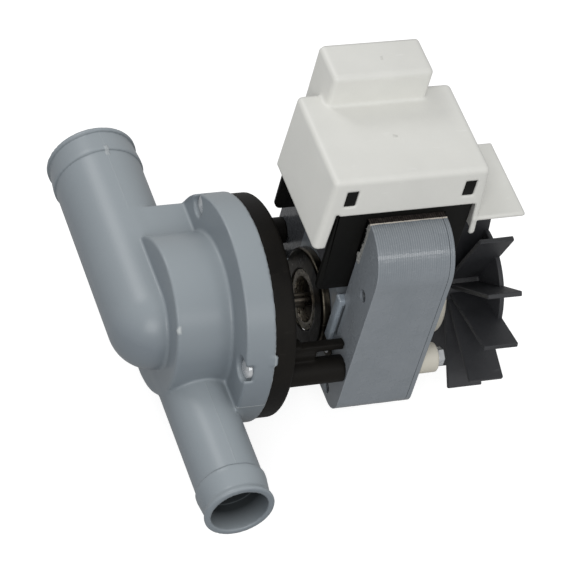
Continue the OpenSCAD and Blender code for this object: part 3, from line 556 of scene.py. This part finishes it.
zinc = finish("zinc-plated steel", (214, 216, 218), (184, 187, 190), (0.22, 0.36), (220, 3000, 0.5, 0.04),
              (214, 214, 212), metallic=0.5)
screws = moulded_skin("pan_head_screws", screw_depth, ((-12.4, 0.22), (-8.4, 0.6), (6.6, 1)),
                      ((-4.5, 0.25), (4.5, 1)), ((-4.5, 0.25), (4.5, 1)))
screws = grown(screws, round_the_shaft, Count=len(SCREW_ANGLES), First_Angle=math.radians(SCREW_ANGLES[0]),
               Circle=SCREW_CIRCLE * mm, Roll=0.8, Seed=4, Finish=zinc)
mount(screws, "zinc_steel", "housing_screws")


# Back plate
# A black glass-filled moulding that closes the pump and carries the motor on two pillars.
# Its rim, hub and ribs are moulded as one, and the long motor screws bite into the pillars.

PLATE_R, PLATE_T, FACE_T, RIM_R = 46.9, 9.4, 3.6, 43.9
HUB_R, HUB_END, SEAL_R, SEAL_END, BUSH_R, BUSH_FOOT, WAY_R = 10.0, 19.9, 9.05, 7.05, 7.05, 7.75, 4.49
PILLAR_R, PILLAR_Y, PILLAR_Z, STACK_X0, STACK_X1 = 5.7, 38.8, 0.6, 34.3, 67.7
plate_outline = cut_corners([
    (SEAL_R, 0, 0), (PLATE_R, 0, 0.4), (PLATE_R, PLATE_T, 1.2), (RIM_R, PLATE_T, 0.5), (RIM_R, FACE_T, 1.0),
    (HUB_R, FACE_T, 1.2), (HUB_R, HUB_END, 0.7), (BUSH_R, HUB_END, 0.3), (BUSH_R, BUSH_FOOT, 0),
    (WAY_R, BUSH_FOOT, 0), (WAY_R, SEAL_END, 0), (SEAL_R, SEAL_END, 0)])

# The locating finger, the web that ties it to the plate, and its root
FINGER_BLOCKS = (((1, -36.7, 9.5), (34.0, -33.0, 13.0), 0.5), ((1, -38.2, 3.0), (22.0, -36.2, 10.5), 0.4),
                 ((1, -37.2, 9.0), (15.0, -31.9, 14.3), 0.4))


def plate_depth(x, y, z):
    around = np.hypot(y, z)
    body = outline_depth(plate_outline, around, x)
    for a in range(0, 180, 60):
        rib = block_depth(spun(x, y, z, a), (1, -45.4, -0.9), (7.4, 45.4, 0.9), 0.3)
        body = melt(body, np.maximum(rib, 9.0 - around), 0.8)
    for sy, sz in SCREW_SPOTS:
        boss = np.maximum(rod_depth(y - sy, z - sz, x, 4.55, 1.0, 8.8, 0.3), around - PLATE_R + 0.5)
        body = melt(body, boss, 0.8)
    for s in (-1, 1):
        body = melt(body, rod_depth(y - s * PILLAR_Y, z - PILLAR_Z, x, PILLAR_R, 1.0, STACK_X0, 0.35), 1.2)
        for low, high, r in FINGER_BLOCKS:
            body = melt(body, block_depth((x, -s * y, -s * z), low, high, r), 0.8)
        body = pare(body, rod_depth(y - s * PILLAR_Y, z - PILLAR_Z, x, 2.0, 18.3, 40.0), 0.3)
    for sy, sz in SCREW_SPOTS:
        body = pare(body, rod_depth(y - sy, z - sz, x, 2.0, -3.0, 12.0), 0.2)
    return body


across = ((-47.6, 0.85), (47.6, 1))
plate = moulded_skin("ribbed_plate", plate_depth, ((-0.7, 0.65), (11.0, 1.1), (33.2, 0.55), (34.9, 1)),
                     across, across)
black_moulding = finish("black filled nylon", (27, 25, 22), (16, 15, 14), (0.45, 0.6), (55, 1500, 0.7, 0.08),
                        (42, 40, 37), specular=0.12)
mount(coated(plate, black_moulding), "black_plastic", "back_plate")


# Front bearing
# A rubber lip seal, an oiled felt ring and a ball-shaped sintered bush sit in the plate's hub.
# A sprung steel star is pushed in over the bush and holds it in its seat.

def softened(name, node, width, segments=2):
    """A CAD shape as one clean shell, with its sharp edges broken by width in millimetres."""
    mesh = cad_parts[node].data.copy()
    shell = bmesh.new()
    shell.from_mesh(mesh)
    bmesh.ops.remove_doubles(shell, verts=shell.verts, dist=2e-6)
    bmesh.ops.dissolve_limit(shell, angle_limit=math.radians(0.6), verts=shell.verts, edges=shell.edges)
    shell.to_mesh(mesh)
    shell.free()
    mesh.shade_smooth()
    piece = placed(name, mesh)
    edge = piece.modifiers.new("broken edges", "BEVEL")
    edge.width = width * mm
    edge.segments = segments
    edge.limit_method = "ANGLE"
    edge.angle_limit = math.radians(32.0)
    edge.harden_normals = True
    return made_plain(piece)


def soft_copy(name, node, width, material, slot, body="pump_and_motor", segments=2):
    """A softened CAD shape in its finish, standing for its node."""
    mount(coated(softened(name, node, width, segments), material), slot, node, body=body)


dress("shaft_seal", rubber)
felt = finish("oiled felt", (196, 184, 150), (164, 150, 116), (0.85, 0.97), (400, 5000, 1, 0.3))
dress("front_felt_ring", felt)
bronze = finish("sintered bronze", (176, 134, 84), (142, 104, 62), (0.38, 0.55), (500, 4000, 0.9, 0.08),
                metallic=1.0)
dress("front_bush", bronze)
soft_copy("front_star_clip", "front_bush_clip", 0.12, zinc, "zinc_steel")


# Impeller
# A white nylon wheel with six straight blades, pressed on the end of the shaft.
# A small nut on the shaft's end keeps it in place.

white_nylon = finish("white nylon", (222, 222, 216), (206, 206, 199), (0.35, 0.5), (60, 1500, 0.4, 0.06))
soft_copy("impeller_wheel", "impeller", 0.35, white_nylon, "white_plastic", body="rotor")
soft_copy("hexagon_nut", "impeller_nut", 0.2, zinc, "zinc_steel", body="rotor")


# Shaft
# A ground steel rod that carries the impeller, the rotor and the fan.
# A rubber slinger keeps drops off the front bush, and two nylon washers take the end play.

ground_steel = finish("ground steel", (122, 116, 108), (96, 91, 84), (0.24, 0.38), (150, 4000, 0.5, 0.03),
                      (150, 146, 140), metallic=1.0)
soft_copy("ground_shaft", "shaft", 0.1, ground_steel, "ground_steel", body="rotor", segments=1)
soft_copy("slinger", "slinger_ring", 0.35, rubber, "black_rubber", body="rotor")
soft_copy("end_washers", "thrust_washers", 0.12, white_nylon, "white_plastic", body="rotor")


# Rotor
# Stamped steel sheets on the shaft, with an aluminium cage cast through their slots.
# The cage's end rings keep the dull, slightly pitted face of the casting.

# Lines between stacked sheets, seen from any side of the stack
sheets, sheets_in, sheets_out = group_of(
    "edges of stacked sheets", "ShaderNodeTree", {"Pitch": 0.001, "Start": 0.0343}, {"Line": 0.0})
count = figure("DIVIDE", figure("SUBTRACT", spot_in(sheets, "X"), sheets_in["Start"]), sheets_in["Pitch"])
feed(sheets_out["Line"], ramp(figure("PINGPONG", count, 0.5), 0.2, 0.02))


def show_sheets(material, pitch, start, colour, depth, above=None, patchy=False):
    """Draw the sheets' edges into a material, all over or only over a height that fades in."""
    tree = material.node_tree
    amount = add_node(tree, "ShaderNodeGroup", node_tree=sheets, Pitch=pitch * mm, Start=start * mm)
    if above:
        amount = figure("MULTIPLY", amount, ramp(spot_in(tree, "Z"), above[0] * mm, above[1] * mm))
    # Patches break the lines up, for painted glints on the sheets' edges
    if patchy:
        glint_patches = ramp(add_node(tree, "ShaderNodeTexNoise", Scale=420.0, Detail=3.0), 0.45, 0.66)
        amount = figure("MULTIPLY", amount, glint_patches)
    lay_on(material, amount, colour, -depth)


rotor_steel = finish("rotor sheets", (104, 102, 98), (74, 71, 67), (0.4, 0.55), (180, 2500, 0.6, 0.06),
                     (120, 92, 66), metallic=0.85)
show_sheets(rotor_steel, 0.5, STACK_X0, (36, 34, 32), 0.12)
dress("rotor_core", rotor_steel)
cast_metal = finish("cast aluminium", (204, 196, 180), (96, 90, 80), (0.2, 0.42), (420, 1400, 1, 0.3),
                    (208, 205, 198), metallic=1.0)
soft_copy("cast_cage", "rotor_cage", 0.5, cast_metal, "cast_aluminium", body="rotor", segments=3)


# Rotor shield
# A pressed ring of zinc-coated sheet steel that keeps fingers and drops off the rotor.
# Two ears are pressed out with it, and a rivet through each holds it to the stator.

SHIELD_R0, SHIELD_R1, SHIELD_X0, EAR_AT, EAR_R, EAR_ANGLES = 13.3, 22.0, 30.4, 24.9, 4.2, (144, 264)
shield_outline = cut_corners([
    (SHIELD_R0, SHIELD_X0, 0.3), (SHIELD_R1, SHIELD_X0, 1.3), (SHIELD_R1, STACK_X0, 0),
    (SHIELD_R1 - 1, STACK_X0, 0), (SHIELD_R1 - 1, SHIELD_X0 + 1, 0.4), (SHIELD_R0, SHIELD_X0 + 1, 0.3)])


def shield_depth(x, y, z):
    body = outline_depth(shield_outline, np.hypot(y, z), x)
    for a in EAR_ANGLES:
        sy, sz = round_shaft(EAR_AT, a)
        ear = rod_depth(y - sy, z - sz, x, EAR_R, STACK_X0 - 1, STACK_X0, 0.2)
        ear = np.maximum(ear, SHIELD_R1 - 0.8 - np.hypot(y, z))
        body = melt(body, ear, 0.5)
        body = pare(body, rod_depth(y - sy, z - sz, x, 1.5, 28.0, 40.0), 0.2)
    return body


shield = moulded_skin("pressed_shield", shield_depth, ((29.9, 0.34), (34.7, 1)), ((-29.8, 0.45), (27.6, 1)),
                      ((-29.8, 0.45), (23.2, 1)))
galvanised = finish("zinc-coated sheet", (92, 87, 77), (46, 43, 37), (0.24, 0.45), (150, 900, 0.6, 0.12),
                    (150, 146, 138), metallic=1.0)
# Painted shade: the near half of the ring's front face is darkened, as its shade and the black plate that it
# reflects
mark_box(galvanised, (29.8, -23, -23), (30.95, -1.5, 23), (24, 22, 20), 0.85, soft=0.4, wander=0.8)
mount(coated(shield, galvanised), "zinc_steel", "rotor_shield")
soft_copy("shield_rivet_heads", "shield_rivets", 0.2, zinc, "zinc_steel")


# Stator
# Thirty-four stamped sheets of electrical steel, riveted together and dipped in blue-grey paint.
# The paint fills the flat sides, but the sheets' edges show on the round shoulders.

SHEETS, SHEET_T, LAST_SHEETS, LAST_GAP = 34, 0.975, 2, 0.24


def stamped_sheet(name, node, x, thickness):
    """One closed sheet with the outline and holes that a CAD node has in its face at x."""
    shell = bmesh.new()
    shell.from_mesh(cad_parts[node].data)
    bmesh.ops.remove_doubles(shell, verts=shell.verts, dist=2e-6)
    rest = [f for f in shell.faces if any(abs(v.co.x - x * mm) > 2e-6 for v in f.verts)]
    bmesh.ops.delete(shell, geom=rest, context="FACES")
    raised = bmesh.ops.extrude_face_region(shell, geom=shell.faces[:])
    bmesh.ops.translate(shell, vec=(thickness * mm, 0, 0),
                        verts=[v for v in raised["geom"] if isinstance(v, bmesh.types.BMVert)])
    bmesh.ops.translate(shell, vec=(-x * mm, 0, 0), verts=shell.verts)
    bmesh.ops.recalc_face_normals(shell, faces=shell.faces)
    mesh = bpy.data.meshes.new(name)
    shell.to_mesh(mesh)
    shell.free()
    return placed(name, mesh)


# Pile sheets along the shaft, each a little out of line, with a gap before the last ones
piled_sheets, enter, leave = group_of(
    "pile of sheets", "GeometryNodeTree",
    {"Sheet": "Geometry", "Count": 34, "Last": 32, "Start": 0.0, "Pitch": 0.001, "Gap": 0.0,
     "Slip": (0.0, 0.0, 0.0), "Seed": 0, "Finish": "Material"}, {"Pile": "Geometry"})
index = add_node(piled_sheets, "GeometryNodeInputIndex")
late = figure("GREATER_THAN", index, enter["Last"])
along = figure("MULTIPLY_ADD", index, enter["Pitch"], enter["Start"])
along = figure("MULTIPLY_ADD", late, enter["Gap"], along)
chance = joined("FunctionNodeRandomValue", arrow("SCALE", enter["Slip"], Scale=-1.0), enter["Slip"],
                data_type="FLOAT_VECTOR", Seed=enter["Seed"])
feed(leave["Pile"], planted(enter, "Sheet", arrow("ADD", joined("ShaderNodeCombineXYZ", along), chance)))

stator_paint = finish("blue-grey stator paint", (132, 138, 144), (122, 129, 135), (0.22, 0.32),
                      (45, 420, 0.8, 0.22), (136, 142, 148), coat=0.3)
show_sheets(stator_paint, SHEET_T, STACK_X0, (118, 124, 129), 0.032, (59.0, 72.0))
# Painted glints: pale sheet edges in patches over the shoulder stand in for the light they catch
show_sheets(stator_paint, SHEET_T, STACK_X0 + SHEET_T / 2, (178, 184, 188), 0.0, (55.0, 72.0), patchy=True)
# Painted light: the near leg's front face is tinted paler, as the light it takes from the pump's side
mark_box(stator_paint, (33.5, -46, -26), (34.6, -24, 76), (138, 144, 150), 0.9)
# A pale line along the near leg's top edge: bare steel where the paint tore, painted light enough to stand for
# its glint too
mark_box(stator_paint, (30, -26.6, 72.4), (68, -25.7, 75), (226, 218, 206), 0.9, wander=0.45)
# Painted shade: the far leg's front face is darkened, as the shadow that the plate casts on it
mark_box(stator_paint, (33, 21, -26), (34.6, 47, 75), (70, 71, 74), 0.85)
stator = stamped_sheet("stator_sheets", "stator_stack", STACK_X0, SHEET_T)
stator = grown(stator, piled_sheets, Count=SHEETS, Last=SHEETS - LAST_SHEETS - 1, Start=STACK_X0 * mm,
               Pitch=SHEET_T * mm, Gap=LAST_GAP * mm, Slip=(0.0, 0.00002, 0.00005), Seed=11,
               Finish=stator_paint)
mount(stator, "stator_paint", "stator_stack")


# Paint crust
# The coil was pushed on after painting, which tore the paint along the edge of the near leg.
# A thin ragged crust of it still stands over the sheets' edge.

crust_dice = np.random.default_rng(8)
crust_wave = np.convolve(crust_dice.random(94), (0.2, 0.3, 0.3, 0.15, 0.05), "valid")
crust_sections = []
for z, wave, grit in zip(np.linspace(51.0, 72.9, 90), crust_wave, crust_dice.random((90, 3))):
    swell = math.exp(-((z - 54.0) / 3.0) ** 2) + 0.5 * math.exp(-((z - 70.5) / 2.0) ** 2)
    edge = min(-23.7, -26.0 + 0.9 * wave + 1.3 * swell + 0.9 * (grit[0] - 0.5))
    front = STACK_X0 - 0.12 - 0.5 * grit[1] * (0.4 + swell)
    root = -26.9 - 0.5 * grit[2]
    crust_sections.append([(STACK_X0 - 0.03, root, z), (front, (root + edge) / 2, z), (front + 0.1, edge, z),
                           (STACK_X0 + 0.35, edge, z), (STACK_X0 + 0.35, root, z)])


def lofted(name, sections, sharp, ring=True):
    """A closed piece through sections in millimetres, in a ring or with two ends."""
    count, total = len(sections[0]), len(sections) * len(sections[0])
    faces = [] if ring else [tuple(range(count)), tuple(range(total - count, total))]
    for start in range(0, total if ring else total - count, count):
        for k in range(count):
            a, b = start + k, start + (k + 1) % count
            faces.append((a, b, (b + count) % total, (a + count) % total))
    mesh = bpy.data.meshes.new(name)
    mesh.from_pydata([[float(c) * mm for c in point] for section in sections for point in section], [], faces)
    shell = bmesh.new()
    shell.from_mesh(mesh)
    bmesh.ops.recalc_face_normals(shell, faces=shell.faces)
    shell.to_mesh(mesh)
    shell.free()
    mesh.shade_smooth()
    mesh.set_sharp_from_angle(angle=math.radians(sharp))
    return placed(name, mesh)


torn_paint = finish("torn paint", (172, 172, 168), (112, 114, 113), (0.4, 0.6), (900, 3000, 1, 0.2),
                    (196, 194, 188))
mount(coated(lofted("paint_crust", crust_sections, 30, ring=False), torn_paint), "stator_paint")


# Core bar
# The sheets of the bar that goes through the coil, pushed in between the stator's two legs.
# They keep the dark oxide of the annealing oven.

black_sheets = finish("oxide-black sheets", (88, 81, 77), (46, 42, 40), (0.3, 0.45), (600, 2500, 0.7, 0.06),
                      (96, 70, 56), metallic=0.3)
show_sheets(black_sheets, SHEET_T, STACK_X0 + 0.1, (9, 9, 9), 0.2)
bar = stamped_sheet("core_bar_sheets", "coil_core", STACK_X0 + 0.1, SHEET_T)
bar = grown(bar, piled_sheets, Count=SHEETS, Last=SHEETS, Start=(STACK_X0 + 0.1) * mm, Pitch=SHEET_T * mm,
            Gap=0.0, Slip=(0.0, 0.0, 0.00004), Seed=5, Finish=black_sheets)
mount(bar, "lamination_steel", "coil_core")


# Stack rivets
# Four steel tubes pressed through the sheets and spread at both ends.
# They went through the paint bath with the stack, so only their sunk mouths show.

# The rivets carry the stack's paint, painted darker as shade in their sunk mouths
rivet_shade_paint = finish("paint in the rivets", (78, 83, 87), (58, 62, 66), (0.35, 0.5), (200, 1200, 0.8, 0.15))
soft_copy("spread_rivets", "stack_rivets", 0.25, rivet_shade_paint, "stator_paint")


# Shading rings
# Two copper loops that are bent and brazed round a corner of each pole, then painted with the stack.
# Their edges are round from the rolled copper bar.

LOOP_RAISE, LOOP_WIDEN, LOOP_TOP = 1.4, 0.7, 1.2
# The loops carry the stack's paint, painted lighter as the light on their front bars
lit_loop_paint = finish("paint on copper", (156, 166, 175), (142, 152, 161), (0.2, 0.32), (120, 600, 0.8, 0.2),
                     (150, 152, 154), coat=0.4)
loops = coated(softened("shading_loops", "shading_rings", 0.95, 4), lit_loop_paint)
near_corner = [v for v in loops.data.vertices if v.co.y < 0 and v.co.x < STACK_X0 * mm]
bar_top = max(v.co.z for v in near_corner)
bar_side = min(v.co.y for v in near_corner)
bar_middle = (max(v.co.y for v in near_corner) + bar_side) / 2
# Painted shadow: a dark strip on the stack beside the near loop's front bar
mark_box(stator_paint, (33.5, bar_side / mm - 1.2, 8.0), (34.6, bar_side / mm + 0.1, bar_top / mm),
         (38, 39, 41), 0.9)
for v in near_corner:
    if v.co.z > bar_top - LOOP_TOP * mm:
        v.co.z += LOOP_RAISE * mm
    if v.co.y > bar_middle:
        v.co.y += LOOP_WIDEN * mm
mount(loops, "copper", "shading_rings")


# Coil
# A black nylon bobbin with two cheeks, wound with enamelled copper wire and wrapped in cloth tape.
# A thermal cut-out lies on the winding, and two tinned tabs are pushed into the bobbin's tower.

satin_black = finish("black bobbin nylon", (17, 17, 15), (12, 12, 11), (0.5, 0.65), (50, 1300, 0.6, 0.07),
                     (28, 28, 27), specular=0.16)
soft_copy("coil_former", "coil_bobbin", 0.3, satin_black, "black_plastic")
enamelled = finish("enamelled copper", (168, 84, 44), (136, 60, 30), (0.25, 0.4), (300, 3000, 0.6, 0.1),
                   metallic=0.9)
dress("coil_winding", enamelled)

COIL_Y0, COIL_Y1, LAP = -21.4, 19.9, 13.8
WIND_X, WIND_Z, WIND_R, TAPE_T = (23.5, 76.1), (36.4, 91.6), 8.0, 0.6
wrap = cut_corners([(WIND_X[i], WIND_Z[j], WIND_R) for i, j in ((0, 0), (1, 0), (1, 1), (0, 1))])
tape_stations = [(y, -0.3 * (((y - COIL_Y0) / LAP) % 1.0)) for y in np.linspace(COIL_Y0, COIL_Y1, 43)]
tape_section = tape_stations + [(y, out - TAPE_T * 0.5) for y, out in tape_stations[::-1]]
tape_sections = []
for spot in wrap:
    away = spot - wrap.mean(axis=0)
    away /= np.linalg.norm(away)
    tape_sections.append([(spot[0] + away[0] * out, y, spot[1] + away[1] * out) for y, out in tape_section])
cloth_tape = finish("dark cloth tape", (70, 70, 73), (56, 56, 60), (0.6, 0.75), (120, 2200, 1, 0.25),
                    (84, 84, 86))
mount(coated(lofted("wrapped_tape", tape_sections, 40), cloth_tape), "tape", "coil_tape")

soft_copy("cutout_case", "thermal_cutout", 0.5, white_nylon, "white_plastic")
tinned = finish("tinned brass", (206, 202, 188), (176, 170, 154), (0.22, 0.38), (200, 2500, 0.5, 0.04),
                metallic=1.0)
soft_copy("flat_tabs", "terminal_tabs", 0.2, tinned, "tin_plate")


# Coil cover
# A white moulded hood that snaps over the bobbin's cheeks, with the terminal box on its far side.
# A flat flap shields the coil from the fan, and the bobbin's barbs catch in two windows of the skirt.

COVER_X, COVER_Y, COVER_TOP, COVER_LOW, SKIRT_Z = (14.2, 80.8), (-25.3, 23.8), 98.5, 60.5, 78.5
LEAN, FLARE, COVER_R, COVER_WALL = 1.1 / 38.0, 3.3 / 38.0, 2.2, 1.6
BOX_X, BOX_Y, BOX_TOP = (24.2, 67.5), (15.8, 34.8), 114.0
FLAP_END, FLAP_Y, FLAP_Z, WINDOW_Z, WINDOW_W = 103.8, 14.8, (68.0, 70.0), (83.8, 92.4), 5.0
skirt_outline = cut_corners([
    (18.72, SKIRT_Z, 0), (18.72, SKIRT_Z + 1, 0.2), (20.12, SKIRT_Z + 1, 0.2), (20.12, SKIRT_Z, 0.2),
    (79.54, SKIRT_Z, 1.2), (81.2, 58.0, 0), (18.14, 58.0, 0)])


def hood_depth(x, y, z, inset, r):
    left = (COVER_X[0] - LEAN * (COVER_TOP - z) - x) / math.sqrt(1 + LEAN ** 2)
    right = (x - COVER_X[1] - FLARE * (COVER_TOP - z)) / math.sqrt(1 + FLARE ** 2)
    return rounded([np.maximum(left, right) + inset,
                    np.maximum(COVER_Y[0] - y, y - COVER_Y[1]) + inset, z - COVER_TOP + inset], r)


def cover_depth(x, y, z):
    hood = pare(hood_depth(x, y, z, 0.0, COVER_R), z - COVER_LOW, 0.6)
    box = block_depth((x, y, z), (BOX_X[0], BOX_Y[0], SKIRT_Z), (BOX_X[1], BOX_Y[1] + 5, BOX_TOP), COVER_R)
    box = pare(box, BOX_Y[1] - y, 0.4)
    body = melt(hood, box, 1.4)
    flap = block_depth((x, y, z), (79.2, COVER_Y[0], FLAP_Z[0]), (FLAP_END, FLAP_Y, FLAP_Z[1]), 0.5)
    body = melt(body, flap, 0.9)
    body = pare(body, np.maximum(hood_depth(x, y, z, COVER_WALL, 0.8), 50 - z), 0.5)
    wall = COVER_WALL
    room = block_depth((x, y, z), (BOX_X[0] + wall, BOX_Y[0] + wall, SKIRT_Z + wall),
                       (BOX_X[1] - wall, BOX_Y[1] + 9, BOX_TOP - wall), 0.5)
    body = pare(body, room, 0.4)
    body = pare(body, outline_depth(skirt_outline, x, z), 0.5)
    for x0 in (20.7, 71.7):
        window = block_depth((x, y, z), (x0, -28.0, WINDOW_Z[0]), (x0 + WINDOW_W, -22.0, WINDOW_Z[1]), 0.3)
        body = pare(body, window, 0.3)
    return body


cover = moulded_skin("white_hood", cover_depth, ((12.2, 0.75), (85.0, 1.3), (104.6, 1)),
                     ((-26.1, 0.75), (35.6, 1)), ((59.8, 0.75), (114.8, 1)))
white_moulding = finish("white polyamide", (228, 228, 223), (221, 221, 216), (0.38, 0.5),
                        (26, 900, 0.35, 0.08), (232, 232, 228))
mark_box(white_moulding, (46.4, -3.4, 98.2), (48.2, -2.2, 98.8), (184, 184, 178), 0.5, wander=1.1,
         raised=0.15)
mark_box(white_moulding, (46.9, 24.4, 113.7), (48.3, 26.2, 114.3), (196, 196, 190), 0.45, wander=1.1,
         raised=0.15)
mount(coated(cover, white_moulding), "white_plastic", "coil_cover")


# Rear bracket
# A cream moulding on the back of the stator, with the cup of the rear bush and a boss for each long screw.
# The cup is open towards the rotor, and the bush sits in a sleeve in its middle.

RING_R, RING_X, CUP_R, CUP_END, CUP_INNER, CUP_FLOOR = 22.0, 70.7, 20.0, 88.0, 17.6, 85.6
SLEEVE_R, SLEEVE_X, SEAT_FLOOR, TAIL_R = 10.0, 73.5, 85.65, 3.99
BOSS_R, BOSS_END, BOSS_HOLE_R = 6.3, 76.0, 2.15
bracket_outline = cut_corners([
    (RING_R, STACK_X1, 0), (RING_R, RING_X, 0.4), (CUP_R, RING_X, 1.0), (CUP_R, CUP_END, 1.6),
    (TAIL_R, CUP_END, 0.3), (TAIL_R, SEAT_FLOOR, 0), (BUSH_R, SEAT_FLOOR, 0), (BUSH_R, SLEEVE_X, 0.2),
    (SLEEVE_R, SLEEVE_X, 0.3), (SLEEVE_R, CUP_FLOOR, 0.8), (CUP_INNER, CUP_FLOOR, 0.8),
    (CUP_INNER, STACK_X1, 0)])


def bracket_depth(x, y, z):
    body = outline_depth(bracket_outline, np.hypot(y, z), x)
    foot = np.maximum(block_depth((x, y, z), (STACK_X1, -PILLAR_Y, -4.7), (RING_X, PILLAR_Y, 5.9), 0.4),
                      18.5 - np.hypot(y, z))
    body = melt(body, foot, 0.8)
    for s in (-1, 1):
        body = melt(body, rod_depth(y - s * PILLAR_Y, z - PILLAR_Z, x, BOSS_R, STACK_X1, BOSS_END, 0.7), 1.2)
        body = pare(body, rod_depth(y - s * PILLAR_Y, z - PILLAR_Z, x, BOSS_HOLE_R, 60.0, 80.0), 0.3)
        slot = block_depth((x, -s * y, -s * z), (60.0, -26.7, 2.7), (71.8, -22.1, 25.0), 0.3)
        body = pare(body, slot, 0.3)
    return body


bracket = moulded_skin("cream_bracket", bracket_depth, ((67.2, 0.6), (88.6, 1)), ((-45.7, 0.75), (45.7, 1)),
                       ((-22.7, 0.75), (22.7, 1)))
cream = finish("cream polyester", (206, 202, 190), (194, 190, 177), (0.4, 0.55), (45, 1200, 0.5, 0.1),
               (214, 211, 202))
mount(coated(bracket, cream), "cream_plastic", "rear_bracket")


# Rear bearing
# The same bush, star clip and felt ring as at the front, seated in the cup of the cream bracket.
# They are pushed in from the rotor's side before the motor is closed.

dress("rear_bush", bronze)
dress("rear_felt_ring", felt)
soft_copy("rear_star_clip", "rear_bush_clip", 0.12, zinc, "zinc_steel")


# Motor screws
# Two long zinc-plated screws with hexagon heads and washers, through the bosses and the stator.
# They are tightened against the cream bosses and end in the plate's pillars.

soft_copy("hexagon_screws", "motor_screws", 0.3, zinc, "zinc_steel")


# Fan
# A charcoal moulding with twelve flat blades, pressed on the end of the shaft to cool the coil.
# The blades are thin plates that are set on edge round the hub, and a disc joins them at the back.

FAN_X, FAN_R, BLADE_T, DISC_R, DISC_T, FAN_HUB_R = (94.9, 110.5), 45.0, 2.2, 27.8, 2.2, 7.5
FAN_BLADES, FAN_TURN = 12, 19.0

# One blade along +Z with rounded edges and a slight draft towards its free side
shell = bmesh.new()
bmesh.ops.create_cube(shell, size=1.0)
for v in shell.verts:
    free = v.co.x < 0
    v.co.x = FAN_X[0] if free else FAN_X[1]
    v.co.y *= BLADE_T - (0.35 if free else 0.0)
    v.co.z = FAN_HUB_R - 1.0 if v.co.z < 0 else FAN_R
    v.co *= mm
bmesh.ops.bevel(shell, geom=shell.edges[:], offset=0.3 * mm, segments=1, affect="EDGES")
blade = bpy.data.meshes.new("fan_blades")
shell.to_mesh(blade)
shell.free()

charcoal = finish("charcoal nylon", (56, 57, 60), (46, 47, 50), (0.42, 0.56), (60, 1300, 0.6, 0.08),
                  (78, 79, 82), specular=0.45)
blades = grown(placed("fan_blades", blade), round_the_shaft, Count=FAN_BLADES,
               First_Angle=math.radians(90.0 - FAN_TURN), Circle=0.0, Roll=0.0, Seed=0, Finish=charcoal)
mount(blades, "charcoal_plastic", "fan", body="rotor")

hub_outline = cut_corners([
    (3.0, 91.5, 0), (FAN_HUB_R, 91.5, 0.5), (FAN_HUB_R, FAN_X[1] - DISC_T, 0.8),
    (DISC_R, FAN_X[1] - DISC_T, 0.4), (DISC_R, FAN_X[1], 0.4), (3.0, FAN_X[1], 0)])
hub_sections = [[(x, *round_shaft(r, a)) for r, x in hub_outline] for a in np.linspace(0, 360, 96, False)]
fan_hub = coated(lofted("fan_hub_and_disc", hub_sections, 40), charcoal)
mount(fan_hub, "charcoal_plastic", body="rotor")
soft_copy("fan_star_clip", "fan_clip", 0.12, zinc, "zinc_steel", body="rotor")


# Floor, backdrop and lights
# A plain pale sweep under white light. A soft light stands behind the left shoulder, a broad one in front,
# and a small one on the right gives the glints.

sweep_white = bpy.data.materials.new("white sweep")
sweep_white.use_nodes = True
tree = sweep_white.node_tree
shader = tree.nodes["Principled BSDF"]
feed(shader.inputs["Base Color"], (0.45, 0.45, 0.45, 1))
feed(shader.inputs["Roughness"], 0.9)
matt = shader.outputs["BSDF"]
mirrored = add_node(tree, "ShaderNodeLightPath", out="Is Glossy Ray")
seen = figure("MULTIPLY_ADD", mirrored, 0.1, mirrored.node.outputs["Is Camera Ray"])
seen.node.use_clamp = True
lit = joined("ShaderNodeAddShader", matt, add_node(tree, "ShaderNodeEmission", Strength=0.8))
feed(tree.nodes["Material Output"].inputs["Surface"], joined("ShaderNodeMixShader", seen, matt, lit))

floor_z = cad_box[0][2] - 0.0005
floor_mesh = bpy.data.meshes.new("sweep")
span = 6.0
floor_mesh.from_pydata([(x * span, y * span, floor_z) for x, y in ((-1, -1), (1, -1), (1, 1), (-1, 1))],
                       [], [(0, 1, 2, 3)])
floor = coated(placed("sweep", floor_mesh), sweep_white)

world = bpy.data.worlds.new("white room")
world.use_nodes = True
bpy.context.scene.world = world
backdrop = world.node_tree.nodes["Background"].inputs
feed(backdrop["Color"], (1, 1, 1, 1))
feed(backdrop["Strength"], 0.52)


def soft_light(name, place, size, power, aim=(0.02, 0.0, 0.02)):
    lamp = bpy.data.lights.new(name, "AREA")
    lamp.shape = "RECTANGLE"
    lamp.size, lamp.size_y = size, size
    lamp.energy = power
    item = placed(name, lamp)
    item.location = place
    item.rotation_euler = (Vector(aim) - Vector(place)).to_track_quat("-Z", "Y").to_euler()


soft_light("back key", (-0.76, 1.24, 1.36), 0.7, 7.5)
soft_light("front", (-0.75, -1.4, 1.25), 1.0, 15.0)
soft_light("right glint", (0.65, -1.5, 1.25), 0.45, 3.0)


# Camera
# A long lens looks from the pump's end and the outlet's side, well above the part.
# From so far off, the tubes and the fan are nearly free of perspective.

camera_data = bpy.data.cameras.new("camera")
camera_data.sensor_width = 36.0
camera_data.lens = 197.409
camera_data.clip_end = 20.0
camera = placed("camera", camera_data)
right = (0.92981214, -0.30720185, 0.20267315)
up = (0.09901776, 0.73919723, 0.66617035)
back = (-0.3544642, -0.59934504, 0.717733)
turned = Matrix((right, up, back)).transposed().to_4x4()
camera.matrix_world = Matrix.Translation((-0.43859, -0.77589, 0.93968)) @ turned
bpy.context.scene.camera = camera
bpy.context.scene.view_settings.view_transform = "Standard"
